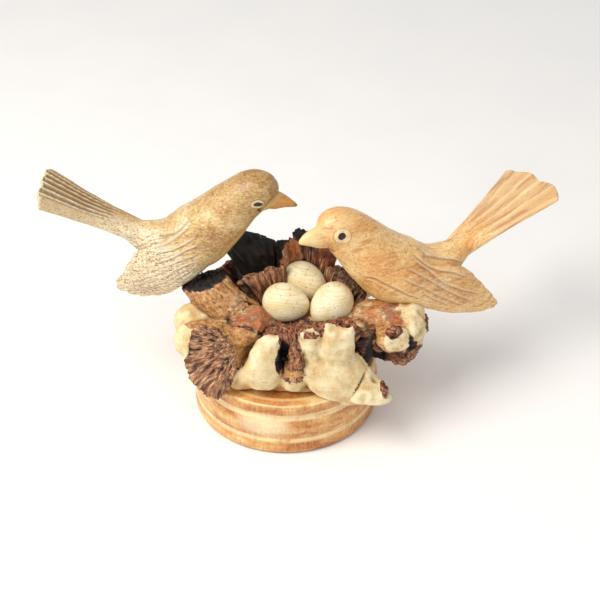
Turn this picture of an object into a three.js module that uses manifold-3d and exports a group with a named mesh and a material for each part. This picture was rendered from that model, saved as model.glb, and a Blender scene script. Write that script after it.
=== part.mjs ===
// Two carved wooden birds facing each other over a nest of knotted parasite wood that holds three eggs,
// on a turned wooden base.
// Millimetres, +Z up. The origin is the centre of the base's underside, +X runs along the row of the two
// birds to the viewer's right, and -Y is the front.
import * as THREE from "three";
import { mergeVertices } from "three/addons/utils/BufferGeometryUtils.js";
import Module from "manifold-3d";

const wasm = await Module();
wasm.setup();

// Driving dimensions
const clearance = 0.35; // between pieces that touch
const baseHeight = 32;
const baseRadius = 50.5;
const baseSides = 42;
const seatRadius = 41; // sunk round face of the base that carries the nest
const seatDepth = 1.4;
const eggLength = 25.5;
const eggRadius = 10.4;
const eggPoint = 0.13; // how much slimmer one end is than the other
const eyeRise = 0.6;

// Numbers of facets
const burlRings = 6;
const bodySides = 16;
const bodyRings = 14;
const tailSides = 28;
const tailRings = 6;
const wingSides = 20;
const wingRings = 7;

// Shares of a surface's rings, from its buried start to its far end
const faceShare = 1 / 3; // rings that close the end face of a nest lobe
const plateFaceShare = 0.13; // rings that close the edge of a tail or wing

const radians = THREE.MathUtils.degToRad;
const mix = THREE.MathUtils.lerp;
const point = (values) => new THREE.Vector3(...values);

// A number to a power with its sign kept, which squares off a round section.
const signedPower = (value, power) => Math.sign(value) * Math.abs(value) ** power;

// The row of numbers at a share of the way through a table of rows, on a smooth curve through every row.
function follow(rows, share) {
  const last = rows.length - 1;
  const at = Math.min(share, 0.999999) * last;
  const first = Math.floor(at);
  const u = at - first;
  const row = (index) => rows[THREE.MathUtils.clamp(index, 0, last)];
  const [p, q, r, s] = [row(first - 1), row(first), row(first + 1), row(first + 2)];
  return q.map((value, i) => {
    const slope = (r[i] - p[i]) / 2;
    const nextSlope = (s[i] - value) / 2;
    const step = r[i] - value;
    const bend = 3 * step - 2 * slope - nextSlope;
    const twist = slope + nextSlope - 2 * step;
    return value + u * (slope + u * (bend + u * twist));
  });
}

// A closed surface with the rings and poles of a sphere, every vertex moved to place(turn, along).
function closedSurface(sides, rings, place) {
  const geometry = new THREE.SphereGeometry(1, sides, rings);
  const uv = geometry.getAttribute("uv");
  const position = geometry.getAttribute("position");
  for (let i = 0; i < position.count; i += 1) {
    const along = 1 - uv.getY(i);
    const onPole = along < 1e-6 || along > 1 - 1e-6;
    const turn = onPole ? 0 : uv.getX(i) % 1;
    const placed = place(turn, along);
    position.setXYZ(i, placed.x, placed.y, placed.z);
  }
  return geometry;
}

// A closed geometry as a solid, turned right side out.
function solidOf(geometry) {
  geometry.deleteAttribute("normal");
  geometry.deleteAttribute("uv");
  const merged = mergeVertices(geometry, 1e-4);
  const vertProperties = new Float32Array(merged.getAttribute("position").array);
  const build = (triVerts) => new wasm.Manifold(new wasm.Mesh({ numProp: 3, vertProperties, triVerts }));
  const triangles = Uint32Array.from(merged.index.array);
  const made = build(triangles);
  return made.volume() < 0 ? build(triangles.reverse()) : made;
}

const joined = (solids) => solids.reduce((whole, solid) => whole.add(solid));
const cutBy = (solid, cutters) => cutters.reduce((whole, cutter) => whole.subtract(cutter), solid);

// The largest of a solid's separate bodies, without crumbs that a cut leaves.
const mainBody = (solid) => solid.decompose().sort((a, b) => b.volume() - a.volume())[0];

function meshOf(name, solid, color, roughness) {
  const { numProp, vertProperties, triVerts } = mainBody(solid).getMesh();
  const geometry = new THREE.BufferGeometry();
  const interleaved = new THREE.InterleavedBuffer(vertProperties, numProp);
  geometry.setAttribute("position", new THREE.InterleavedBufferAttribute(interleaved, 3, 0));
  geometry.setIndex(new THREE.BufferAttribute(triVerts, 1));
  geometry.computeVertexNormals();
  const mesh = new THREE.Mesh(geometry, new THREE.MeshStandardMaterial({ color, roughness, metalness: 0 }));
  mesh.name = name;
  return mesh;
}

// Turned base
function baseSolid() {
  const bulgeFrom = 9;
  const bulgeTo = 24;
  const bulge = 1.1;
  const bulgeSteps = 3;
  const rimRadius = 49.6;
  const rimRound = 1.6;
  const foot = [
    [0, 0],
    [baseRadius - 0.9, 0],
    [baseRadius, 1.2],
    [baseRadius - 0.3, bulgeFrom - 1.5],
  ];
  const belly = Array.from({ length: bulgeSteps + 1 }, (_, i) => [
    baseRadius - 1 + bulge * Math.sin((Math.PI * i) / bulgeSteps),
    mix(bulgeFrom, bulgeTo, i / bulgeSteps),
  ]);
  const top = [
    [rimRadius, bulgeTo + 2],
    [rimRadius, baseHeight - rimRound],
    [rimRadius - rimRound, baseHeight],
    [seatRadius + 5, baseHeight],
    [seatRadius, baseHeight - seatDepth],
    [0, baseHeight - seatDepth],
  ];
  const profile = [...foot, ...belly, ...top].map(([radius, z]) => new THREE.Vector2(radius, z));
  return solidOf(new THREE.LatheGeometry(profile, baseSides).rotateX(Math.PI / 2));
}

// The room above and around the base that the nest keeps out of.
function baseRoom() {
  const outer = baseRadius + 1.5;
  const profile = [
    [0, -5],
    [outer, -5],
    [outer, baseHeight + clearance],
    [seatRadius + 5, baseHeight + clearance],
    [seatRadius - 1, baseHeight - seatDepth + clearance],
    [0, baseHeight - seatDepth + clearance],
  ].map(([radius, z]) => new THREE.Vector2(radius, z));
  return solidOf(new THREE.LatheGeometry(profile, 32).rotateX(Math.PI / 2));
}

// Eggs: each lies with its blunt end at the first angle round Z and lifted by the second.
const eggs = {
  egg_front_left: { at: [0.3, -5, 67], turn: 172, lift: 8 },
  egg_front_right: { at: [24.4, -6, 67], turn: 35, lift: 28 },
  egg_back: { at: [10.4, 13.2, 67.5], turn: 150, lift: 14 },
};

// An egg: half an ellipse turned round its long axis, slimmer towards one end.
function eggSolid(egg, grow) {
  const place = (turn, along) => {
    const angle = Math.PI * along;
    const girth = (eggRadius + grow) * Math.sin(angle) * (1 + eggPoint * Math.cos(angle));
    const sideways = Math.cos(2 * Math.PI * turn);
    const upwards = Math.sin(2 * Math.PI * turn);
    return new THREE.Vector3((eggLength / 2 + grow) * Math.cos(angle), girth * sideways, girth * upwards);
  };
  const geometry = closedSurface(12, 8, place);
  geometry.rotateY(-radians(egg.lift)).rotateZ(radians(egg.turn)).translate(...egg.at);
  return solidOf(geometry);
}

// Nest lobes. Each grows from its root to the middle of its end face, by way of a bend that is added to
// the halfway point. half holds the half-width along side and the half-thickness across it at the end,
// narrow is their share at the root, and flare is how late they open. face is the way the end face
// looks, dome how far its middle stands out, and lumps how knotty the rim is.
const lobes = {
  frontFan: {
    root: [14, -10, 42], bend: [0, -8, 2], tip: [26.5, -36, 43],
    side: [1, 0.1, -0.1], half: [14.5, 12.5], narrow: 0.75, flare: 1,
    face: [0.15, -0.8, 0.5], dome: 8.5, lumps: 0.08,
  },
  frontFanCrest: {
    root: [25, -28, 38], bend: [0, -4, 0], tip: [28, -33, 70],
    side: [1, 0.05, 0], half: [7, 4.8], narrow: 1.8, flare: 0.8,
    face: [0.1, 0.1, 1], dome: 0.5, lumps: 0.12,
  },
  frontFoot: {
    root: [8, -14, 38], bend: [0, -6, 0], tip: [5, -33, 33],
    side: [1, 0, 0], half: [24, 4], narrow: 0.9, flare: 1,
    face: [0, -0.95, 0.3], dome: 4, lumps: 0.06,
  },
  frontFinger: {
    root: [14.5, -31, 38], bend: [0, -4, 0], tip: [12.5, -33, 68.5],
    side: [1, 0, 0], half: [5.2, 4.2], narrow: 0.8, flare: 1,
    face: [-0.1, 0.2, 1], dome: 0.5, lumps: 0.15,
  },
  frontCone: {
    root: [3.4, -30, 30], bend: [0, -6, 0], tip: [6.6, -34, 62],
    side: [1, 0, 0], half: [2.2, 2.6], narrow: 3.8, flare: 1.2,
    face: [0, 0.2, 1], dome: 1, lumps: 0.1,
  },
  frontLeftFan: {
    root: [-14, -29, 31], bend: [0, -6, 0], tip: [-9.8, -33, 62.5],
    side: [1, 0, 0], half: [6.5, 5], narrow: 1.9, flare: 1.3,
    face: [-0.35, 0.1, 1], dome: 3, lumps: 0.12,
  },
  lowLeftKnob: {
    root: [-8, -16, 38], bend: [0, 0, 0], tip: [-25, -35, 39],
    side: [0.8, -0.5, 0], half: [7, 8], narrow: 0.9, flare: 1,
    face: [-0.4, -0.9, 0], dome: 4, lumps: 0.1,
  },
  leftBell: {
    root: [-14, -4, 50], bend: [-6, 0, 4], tip: [-40, -33, 50],
    side: [0.62, -0.04, 0.8], half: [12.5, 18], narrow: 0.5, flare: 1.3,
    face: [-0.3, -0.85, 0.42], dome: -1, lumps: 0.08,
  },
  leftBellSkin: {
    root: [-20, -6, 50], bend: [-4, 0, 2], tip: [-53, -22, 53.5],
    side: [0.7, -0.7, 0.1], half: [9, 10], narrow: 0.8, flare: 1,
    face: [-0.7, -0.6, 0.1], dome: 5, lumps: 0.08,
  },
  leftKnob: {
    root: [-14, -2, 48], bend: [-6, 0, 6], tip: [-54, -8, 57],
    side: [0.2, 1, 0], half: [10, 7.5], narrow: 0.7, flare: 1,
    face: [-1, -0.2, 0.3], dome: 6, lumps: 0.1,
  },
  leftBlock: {
    root: [-8, -4, 48], bend: [-6, -8, 0], tip: [-44, 4, 75],
    side: [1, 0.3, 0.2], half: [11.5, 13], narrow: 0.8, flare: 1,
    face: [-0.35, 0.3, 0.9], dome: 0.5, lumps: 0.06,
  },
  leftSaddle: {
    root: [0, -8, 46], bend: [-4, -3, 4], tip: [-22, -14, 61],
    side: [0.6, 0.6, 0.2], half: [11, 9], narrow: 0.9, flare: 1,
    face: [-0.6, -0.5, 0.8], dome: 4, lumps: 0.15,
  },
  roughPatch: {
    root: [-6, -10, 46], bend: [0, 0, 4], tip: [-27, -22, 58],
    side: [0.7, -0.5, 0.2], half: [8, 7], narrow: 0.9, flare: 1,
    face: [-0.5, -0.7, 0.7], dome: 3, lumps: 0.15,
  },
  backLeftFan: {
    root: [-4, 10, 44], bend: [-3, 6, 0], tip: [-18, 27, 82.5],
    side: [1, 0.1, -0.35], half: [14, 8], narrow: 0.55, flare: 1.1,
    face: [0.35, 0.1, 1], dome: 5, lumps: 0.12,
  },
  innerLeftFan: {
    root: [-2, 4, 46], bend: [-2, 4, -2], tip: [-13, 7, 77],
    side: [1, 0.2, 0.45], half: [14, 4.5], narrow: 0.45, flare: 1.1,
    face: [-0.2, -0.3, 1], dome: 1, lumps: 0.08,
  },
  backFinger: {
    root: [2, 16, 50], bend: [0, 2, 0], tip: [-1.5, 26, 82.5],
    side: [1, 0, 0], half: [4, 4.5], narrow: 1, flare: 1,
    face: [-0.3, 0, 1], dome: 2.5, lumps: 0.1,
  },
  backRightFan: {
    root: [12, 12, 46], bend: [0, 7, 0], tip: [15, 25, 83],
    side: [1, -0.1, -0.35], half: [14, 6], narrow: 0.6, flare: 1.1,
    face: [0.15, -0.2, 1], dome: 1.5, lumps: 0.1,
  },
  backRightCrest: {
    root: [9, 18, 60], bend: [0, 0, 0], tip: [9, 28, 88],
    side: [1, 0, 0], half: [5.5, 4], narrow: 1, flare: 1,
    face: [0, 0, 1], dome: 1, lumps: 0.2,
  },
  rightWall: {
    root: [22, 6, 46], bend: [5, 2, -2], tip: [33, 11, 70],
    side: [0.8, -0.75, -0.45], half: [14, 5.5], narrow: 0.6, flare: 1,
    face: [0.3, 0, 1], dome: 1.5, lumps: 0.12,
  },
  rightArm: {
    root: [18, -4, 50], bend: [0, 3, 4], tip: [70, -13, 57],
    side: [0.2, 1, 0], half: [11, 11], narrow: 0.95, flare: 1,
    face: [1, -0.2, 0.1], dome: 5, lumps: 0.22,
  },
  rightArmKnob: {
    root: [44, -10, 48], bend: [0, 0, -2], tip: [67, -17, 46],
    side: [0.2, 1, 0], half: [8, 8], narrow: 0.9, flare: 1,
    face: [1, -0.4, -0.3], dome: 4, lumps: 0.15,
  },
  rightStub: {
    root: [44, -10, 50], bend: [0, -2, 0], tip: [60, -27, 59],
    side: [0.85, 0.3, 0.3], half: [6.3, 6.3], narrow: 1.1, flare: 1,
    face: [0.35, -0.9, 0.3], dome: 0.5, lumps: 0.06,
  },
  rightWeb: {
    root: [20, -8, 42], bend: [0, 0, 0], tip: [45, -21, 49],
    side: [0.2, 0.3, 1], half: [12, 7], narrow: 1, flare: 1,
    face: [0.9, -0.5, -0.2], dome: 1, lumps: 0.12,
  },
  lowRightProng: {
    root: [27, -26, 33], bend: [0, 0, 0], tip: [52.5, -43, 32.5],
    side: [0.5, 0.4, 0.8], half: [4.3, 4.6], narrow: 2.5, flare: 3,
    face: [0.85, -0.35, 0], dome: 3, lumps: 0.25,
  },
  frontRim: {
    root: [-18, -16, 54], bend: [0, -15, 3], tip: [40, -14, 57],
    side: [0, 1, 0.1], half: [7, 6], narrow: 0.9, flare: 1,
    face: [1, 0.3, 0], dome: 2, lumps: 0.15,
  },
  backFanLeft: {
    root: [-6, 14, 40], bend: [-2, 6, 2], tip: [-32, 34, 57],
    side: [0.7, 0.7, 0.3], half: [15, 11], narrow: 0.5, flare: 1.3,
    face: [-0.6, 0.7, 0.3], dome: 3, lumps: 0.14,
  },
  backFanMiddle: {
    root: [8, 14, 38], bend: [0, 8, 2], tip: [2, 44, 52],
    side: [1, 0, 0.1], half: [16, 12], narrow: 0.5, flare: 1.3,
    face: [0, 0.95, 0.3], dome: 4, lumps: 0.14,
  },
  backFanRight: {
    root: [18, 8, 40], bend: [2, 6, 2], tip: [38, 34, 53],
    side: [0.7, -0.7, 0.3], half: [15, 11], narrow: 0.5, flare: 1.3,
    face: [0.6, 0.7, 0.3], dome: 3, lumps: 0.14,
  },
};

// The heart that joins the lobes, the hollow for the eggs and a cleft in front, as stretched balls.
const heart = { middle: [9, 0, 44], halves: [38, 32, 18], sides: 16, rings: 8 };
const hollow = { middle: [14, -4, 78], halves: [25, 16, 19], sides: 16, rings: 10 };
const cleft = { middle: [-1.2, -40, 55], halves: [3.6, 11, 9.5], sides: 10, rings: 8 };

const ballSolid = ({ middle, halves, sides, rings }) =>
  solidOf(new THREE.SphereGeometry(1, sides, rings).scale(...halves).translate(...middle));

// A lobe: a squared-off oval section carried from root to tip, opening as it goes. The rings near the
// tip lean until they lie in the plane of the end face, and the last rings close that face.
function lobeSurface(lobe, order) {
  const root = point(lobe.root);
  const tip = point(lobe.tip);
  const bend = root.clone().lerp(tip, 0.5).add(point(lobe.bend));
  const path = new THREE.QuadraticBezierCurve3(root, bend, tip);
  const face = point(lobe.face).normalize();
  const squareness = 0.85;
  const firstRing = 1 / burlRings;
  return (turn, along) => {
    const share = Math.min(1, along / (1 - faceShare));
    const reach = share < 1 ? Math.min(1, along / firstRing) : (1 - along) / faceShare;
    const centre = path.getPoint(share);
    const forward = path.getTangent(share);
    const side = point(lobe.side).projectOnPlane(forward).normalize();
    const across = forward.clone().cross(side);
    const angle = 2 * Math.PI * turn;
    const growth = mix(lobe.narrow, 1, share ** lobe.flare);
    const knot = Math.sin(2 * angle + order) * 0.6 + Math.sin(3 * angle + 2 * order) * 0.4;
    const size = growth * reach * (1 + lobe.lumps * knot * share);
    const placed = new THREE.Vector3()
      .addScaledVector(side, lobe.half[0] * size * signedPower(Math.cos(angle), squareness))
      .addScaledVector(across, lobe.half[1] * size * signedPower(Math.sin(angle), squareness));
    const lean = -placed.dot(face) / Math.max(0.35, forward.dot(face));
    placed.addScaledVector(forward, lean * share ** 3);
    const domed = share < 1 ? 0 : lobe.dome * (1 - reach ** 2);
    return placed.add(centre).addScaledVector(face, domed);
  };
}

function burlSolid(seats) {
  const sidesOf = (lobe) => 6 + Math.round(Math.max(...lobe.half) / 5.5);
  const grown = Object.values(lobes).map((lobe, order) =>
    solidOf(closedSurface(sidesOf(lobe), burlRings, lobeSurface(lobe, order))),
  );
  const cutters = [ballSolid(hollow), ballSolid(cleft), baseRoom(), ...seats];
  return cutBy(joined([ballSolid(heart), ...grown]), cutters);
}

// Birds. Lengths are along the bird's own line: forwards from the middle of the body, and up.
// body rows, rump to face: forwards, up, half-width, half-height. beak rows: the same.
// tail: its end as forwards, sideways, up, the half-widths at root and end, and its twist.
// wing: how far it stands out sideways along its length, its widths above and below its own line,
// and how far its upper and lower corners stay behind the tip. Each of the wings has a side, a tip
// as forwards and up, and a spread, less than 1 where it is folded closer.
const birds = {
  left_bird: {
    at: [-48.8, 14.3, 96.8], heading: -3, roll: 0,
    body: [
      [-50, 0, 13, 6, 1.8], [-42, 0, 8, 6.4, 3.4], [-34, 0, 3.6, 7, 5.6], [-26, 0, -0.4, 9.2, 8.8],
      [-14, 0, -3.5, 14, 13.9], [0, 0, 0, 17.6, 17.6], [11, 0, 9.6, 16, 16.2], [23.5, 0, 22.9, 13, 13.1],
      [33, 0, 30.4, 11.4, 11.4], [40, 0, 29, 8.8, 9], [43.5, 0, 26.7, 4.8, 5],
    ],
    beak: [
      [36, 0, 27.4, 5.4, 6.4], [43, 0, 25.4, 4.9, 5.4], [49, 0, 24.3, 3, 3.3], [55.6, 0, 21.8, 0.5, 0.7],
    ],
    tail: {
      root: [-20, 0, -3], end: [-79.6, 0, 31.6], half: [6, 19.5], twist: 0, feathers: 7, scallop: 1.6,
    },
    wings: [{ side: -1, tip: [-41.5, -23.5], spread: 1 }, { side: 1, tip: [-29, -14], spread: 0.75 }],
    wing: {
      out: [9, 14.2, 15.4, 14.6, 13], upper: [6, 11.5, 14.5, 14.5, 13], lower: [6, 11.5, 15.5, 17, 15],
      corners: [19, 10], feathers: 5,
    },
    eye: { at: [35.2, 29], radius: 3.1 },
  },
  right_bird: {
    at: [61, 9, 78.5], heading: 206, roll: 8,
    body: [
      [-58, -5, 10.6, 6.5, 2], [-49, -3.2, 6.8, 7, 3.6], [-40, -1.4, 3.2, 7.6, 5.6], [-31, 0, -0.2, 9.4, 9],
      [-16.3, 0, -3.8, 15.2, 15.2], [0, 0, 0, 19.2, 19.2], [14.4, 0, 13, 16.9, 16.9],
      [25.6, 0, 26.6, 13.8, 14.1], [33.5, 0, 34, 12, 12.3], [40.5, 0, 35, 9.6, 10.2],
      [46, 0, 33.4, 5.4, 5.8],
    ],
    beak: [[38, 0, 33, 6, 8], [46, 0, 33, 5.2, 6], [53, 0, 33.6, 3, 3.6], [58, 0, 32.8, 0.5, 0.7]],
    tail: {
      root: [-24, 0, -3], end: [-95, -12.3, 25.5], half: [6, 23], twist: -4, feathers: 5, scallop: 2.6,
    },
    wings: [{ side: 1, tip: [-53.5, -30], spread: 1 }, { side: -1, tip: [-36, -18], spread: 0.6 }],
    wing: {
      out: [10, 15, 16, 14.6, 12.5], upper: [6, 12, 16, 16.5, 14], lower: [6, 10, 11, 11, 10],
      corners: [24, 15], feathers: 6,
    },
    eye: { at: [37.6, 36], radius: 4.3 },
  },
};

// The body: round sections square to the line from rump to face, drawn in to a dome at both ends.
function bodySurface(rows, grow) {
  const rounding = 0.12; // share of the length that each end's dome takes
  return (turn, along) => {
    const share = mix(along, 0.5 - 0.5 * Math.cos(Math.PI * along), 0.5);
    const [forwards, aside, up, halfWidth, halfHeight] = follow(rows, share);
    const ahead = follow(rows, share + 0.01);
    const behind = follow(rows, Math.max(0, share - 0.01));
    const slope = new THREE.Vector2(ahead[0] - behind[0], ahead[2] - behind[2]).normalize();
    const fromEnd = Math.min(1, share / rounding, (1 - share) / rounding);
    const cap = Math.sqrt(Math.max(0, 1 - (1 - fromEnd) ** 2));
    const sideways = (halfWidth + grow) * cap * Math.cos(2 * Math.PI * turn);
    const lifted = (halfHeight + grow) * cap * Math.sin(2 * Math.PI * turn);
    return new THREE.Vector3(forwards - lifted * slope.y, aside + sideways, up + lifted * slope.x);
  };
}

// The beak: oval sections that shrink to a blunt point.
function beakSurface(rows) {
  return (turn, along) => {
    const [forwards, aside, up, halfWidth, halfHeight] = follow(rows, along);
    const reach = Math.min(1, along / 0.2, (1 - along) / 0.1);
    const angle = 2 * Math.PI * turn;
    return new THREE.Vector3(
      forwards,
      aside + halfWidth * reach * Math.cos(angle),
      up + halfHeight * reach * Math.sin(angle),
    );
  };
}

// A thin plate along a straight line: across runs from -1 at one long edge to 1 at the other, and the
// plate's far edge is shaped by edge(across). Fine furrows run along it between the feathers.
function plateSurface(plate) {
  return (turn, along) => {
    const share = Math.min(1, along / (1 - plateFaceShare));
    const reach = share < 1 ? Math.min(1, along / 0.1) : (1 - along) / plateFaceShare;
    const fold = 1 - 4 * Math.abs(turn - 0.5);
    const across = fold * reach;
    const face = turn < 0.5 ? 1 : -1;
    const furrow = Math.abs(Math.sin((Math.PI * plate.feathers * (across + 1)) / 2));
    const thick = plate.thickness(share) * Math.sqrt(1 - fold ** 6) * reach;
    const ridged = face > 0 ? thick - plate.furrow * share * (1 - furrow) * reach : thick;
    return plate.place(share, across, face * Math.max(0.2 * thick, ridged));
  };
}

function tailSurface(tail) {
  const root = point(tail.root);
  const end = point(tail.end);
  const back = end.clone().sub(root);
  const length = back.length();
  const forward = back.clone().normalize();
  const twist = radians(tail.twist);
  const wide = new THREE.Vector3(0, Math.cos(twist), Math.sin(twist)).projectOnPlane(forward).normalize();
  const upward = wide.clone().cross(forward);
  if (upward.z < 0) upward.negate();
  return plateSurface({
    feathers: tail.feathers,
    furrow: 0.9,
    thickness: (share) => mix(5, 1.5, Math.min(1, share * 1.6)),
    place: (share, across, off) => {
      const half = mix(tail.half[0], tail.half[1], share ** 1.15);
      const feather = Math.abs(Math.cos((Math.PI * tail.feathers * (across + 1)) / 4));
      const edge = tail.scallop * (feather - 1) - 4 * across ** 4;
      const sag = 2.4 * across ** 2 * share;
      return root
        .clone()
        .addScaledVector(forward, (length + edge) * share)
        .addScaledVector(wide, half * across)
        .addScaledVector(upward, off - sag);
    },
  });
}

function wingSurface(wing, { side, tip: end, spread }, grow) {
  const root = new THREE.Vector2(14, 3);
  const tip = new THREE.Vector2(...end);
  const line = tip.clone().sub(root);
  const length = line.length();
  line.normalize();
  const over = new THREE.Vector2(line.y, -line.x);
  const rows = wing.out.map((out, i) => [out, wing.upper[i], wing.lower[i]]);
  return plateSurface({
    feathers: wing.feathers,
    furrow: 0.8,
    thickness: (share) => mix(3.4, 1.3, share) + grow,
    place: (share, across, off) => {
      const [out, upper, lower] = follow(rows, share);
      const half = (across > 0 ? upper : lower) * spread;
      const [upperCorner, lowerCorner] = wing.corners;
      const behind = across > 0 ? upperCorner * across ** 1.2 : lowerCorner * across ** 2;
      const reached = share * (length + grow) - behind * share ** 2;
      const curved = out - 2.2 * across ** 2 + off;
      return new THREE.Vector3(
        root.x + line.x * reached + over.x * (half + grow) * across,
        side * curved,
        root.y + line.y * reached + over.y * (half + grow) * across,
      );
    },
  });
}

// An eye: a low round boss on the side of the head.
function eyeSolid(bird, side) {
  const [forwards, up] = bird.eye.at;
  const boss = new THREE.SphereGeometry(1, 12, 8).scale(bird.eye.radius, 2, bird.eye.radius);
  const headHalfWidth = 11;
  return solidOf(boss.translate(forwards, side * (headHalfWidth - 1.6 + eyeRise), up));
}

function placedBird(solid, bird) {
  return solid.rotate([bird.roll, 0, 0]).rotate([0, 0, bird.heading]).translate(bird.at);
}

// Body and wings, grown by a clearance where they seat in the nest.
function birdTrunk(bird, grow) {
  const wings = bird.wings.map((placing) =>
    solidOf(closedSurface(wingSides, wingRings, wingSurface(bird.wing, placing, grow))),
  );
  return joined([solidOf(closedSurface(bodySides, bodyRings, bodySurface(bird.body, grow))), ...wings]);
}

function birdSolid(bird) {
  const pieces = [
    birdTrunk(bird, 0),
    solidOf(closedSurface(10, 8, beakSurface(bird.beak))),
    solidOf(closedSurface(tailSides, tailRings, tailSurface(bird.tail))),
    ...[1, -1].map((side) => eyeSolid(bird, side)),
  ];
  return placedBird(joined(pieces), bird);
}

// Assembly
const group = new THREE.Group();
const paleWood = 0xe6d3a0;
const colours = { left_bird: 0xcf9f5c, right_bird: 0xd9a368 };
group.add(meshOf("turned_base", baseSolid(), 0xd9a35f, 0.45));
const seats = [
  ...Object.values(eggs).map((egg) => eggSolid(egg, clearance)),
  ...Object.values(birds).map((bird) => placedBird(birdTrunk(bird, clearance), bird)),
];
group.add(meshOf("parasite_wood_nest", burlSolid(seats), 0xb98a5c, 0.8));
for (const [name, bird] of Object.entries(birds)) {
  group.add(meshOf(name, birdSolid(bird), colours[name], 0.4));
}
for (const [name, egg] of Object.entries(eggs)) {
  group.add(meshOf(name, eggSolid(egg, 0), paleWood, 0.6));
}

export default group;
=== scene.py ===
import itertools
import math

import bpy
import numpy as np
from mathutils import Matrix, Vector


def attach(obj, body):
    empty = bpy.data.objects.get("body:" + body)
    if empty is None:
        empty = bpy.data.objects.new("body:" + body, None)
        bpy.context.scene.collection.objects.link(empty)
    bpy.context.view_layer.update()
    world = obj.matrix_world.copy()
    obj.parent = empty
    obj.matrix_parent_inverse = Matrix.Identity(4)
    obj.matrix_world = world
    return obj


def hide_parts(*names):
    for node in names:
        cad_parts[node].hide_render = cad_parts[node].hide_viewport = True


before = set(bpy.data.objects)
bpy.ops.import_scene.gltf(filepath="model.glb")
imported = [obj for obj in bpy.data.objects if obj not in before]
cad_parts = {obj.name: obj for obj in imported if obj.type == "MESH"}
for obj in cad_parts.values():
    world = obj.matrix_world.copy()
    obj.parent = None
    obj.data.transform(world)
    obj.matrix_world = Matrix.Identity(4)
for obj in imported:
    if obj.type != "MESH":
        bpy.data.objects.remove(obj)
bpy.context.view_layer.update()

mm = 0.001


# Numbers.

def mix(low, high, share):  # low at share 0, high at share 1
    return low + (high - low) * share


def smooth(low, high, value):  # 0 up to low, 1 from high on, an S between
    t = np.clip((value - low) / (high - low), 0, 1)
    return t * t * (3 - 2 * t)


def unit(vectors):  # each vector made one long
    return vectors / np.maximum(np.linalg.norm(vectors, axis=-1, keepdims=True), 1e-9)


def signedPower(value, power):  # a power that keeps the value's sign
    return np.sign(value) * np.abs(value) ** power


# A table's row at each share of the way through it: a cubic through the two rows around the share,
# with the slope at a row taken from the rows on either side of it.
def followRows(rows, share):
    rows = np.asarray(rows, float)
    last = len(rows) - 1
    at = np.minimum(share, 0.999999) * last
    first = np.floor(at).astype(int)
    u = (at - first)[..., None]
    p, q, r, s = (rows[np.clip(first + k, 0, last)] for k in (-1, 0, 1, 2))
    slope, nextSlope, step = (r - p) / 2, (s - q) / 2, r - q
    bend = 3 * step - 2 * slope - nextSlope
    twist = slope + nextSlope - 2 * step
    return q + u * (slope + u * (bend + u * twist))


# Value noise from -1 to 1: every corner of a cubic lattice has a scrambled number of its own, and a
# point takes the eight around it, weighted by an S curve along each axis.
def softNoise(points, size=1.0, seed=0):
    at = points / size + 31.7 * seed + 1000
    cell = np.floor(at).astype(np.int64)
    u = at - cell
    u = u * u * (3 - 2 * u)
    total = 0
    for corner in itertools.product((0, 1), repeat=3):
        x, y, z = (cell + corner).T
        scrambled = (x * 73856093) ^ (y * 19349663) ^ (z * 83492791)
        scrambled = (scrambled * 1274126177 + 12345) & 0x7FFFFFFF
        value = ((scrambled ^ (scrambled >> 13)) & 0xFFFF) / 0xFFFF
        total = total + value * np.prod(np.where(corner, u, 1 - u), axis=-1)
    return total * 2 - 1


# Surfaces.

# Points place(turn, along) on rings between two poles: turn goes once round, and along from 0 to 1.
# Gives (points, quads, caps), turned right side out.
def closedSurface(sides, rings, place):
    turn, along = np.meshgrid(np.arange(sides) / sides, np.arange(1, rings) / rings)
    body = place(turn.ravel(), along.ravel())
    poles = place(np.zeros(2), np.array([0.0, 1.0]))
    here = np.arange((rings - 2) * sides)
    beside = here // sides * sides + (here + 1) % sides
    quads = np.stack([here, beside, beside + sides, here + sides], 1)
    first = np.arange(sides)
    second = (first + 1) % sides
    lastRing = (rings - 2) * sides
    near = np.stack([second, first, first * 0 + len(body)], 1)
    far = np.stack([lastRing + first, lastRing + second, first * 0 + len(body) + 1], 1)
    points = np.vstack([body, poles])
    caps = np.vstack([near, far])
    triangles = np.vstack([quads[:, [0, 1, 2]], quads[:, [0, 2, 3]], caps])
    a, b, c = (points[triangles[:, k]] for k in range(3))
    if np.einsum("ij,ij->", a, np.cross(b, c)) < 0:
        quads, caps = quads[:, ::-1], caps[:, ::-1]
    return points, quads, caps


# How far along its line a ring lies, and its size: rings open out over the first part, and those of the
# last part close in on the middle of the end face.
def opened(along, first, last):
    share = np.minimum(1, along / (1 - last))
    return share, np.where(share < 1, np.minimum(1, along / first), (1 - along) / last)


def ellipsoid(centre, radii, sides=120, rings=80, axes=(0, 1, 2)):  # with its poles on the last of the axes
    def place(turn, along):
        angle, around = np.pi * along, 2 * np.pi * turn
        ball = np.stack([np.sin(angle) * np.cos(around), np.sin(angle) * np.sin(around), np.cos(angle)], 1)
        return ball[:, axes] * radii + centre

    return closedSurface(sides, rings, place)


def carriedRound(profile, sides):  # radius and height along a profile, taken round the upright axis
    def place(turn, along):
        rows = np.arange(len(profile))
        radius, height = (np.interp(along * rows[-1], rows, column) for column in np.transpose(profile))
        angle = 2 * np.pi * turn
        return np.stack([radius * np.cos(angle), radius * np.sin(angle), height], 1)

    return closedSurface(sides, len(profile) - 1, place)


def meshOf(name, surfaces):  # several closed surfaces as one mesh, in millimetres
    faces, count = [], 0
    for points, quads, caps in surfaces:
        faces += (quads + count).tolist() + (caps + count).tolist()
        count += len(points)
    mesh = bpy.data.meshes.new(name)
    mesh.from_pydata(np.vstack([surface[0] for surface in surfaces]), [], faces)
    mesh.update()
    return mesh


def objectOf(name, mesh):
    piece = bpy.data.objects.new(name, mesh)
    bpy.context.scene.collection.objects.link(piece)
    return piece


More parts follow.
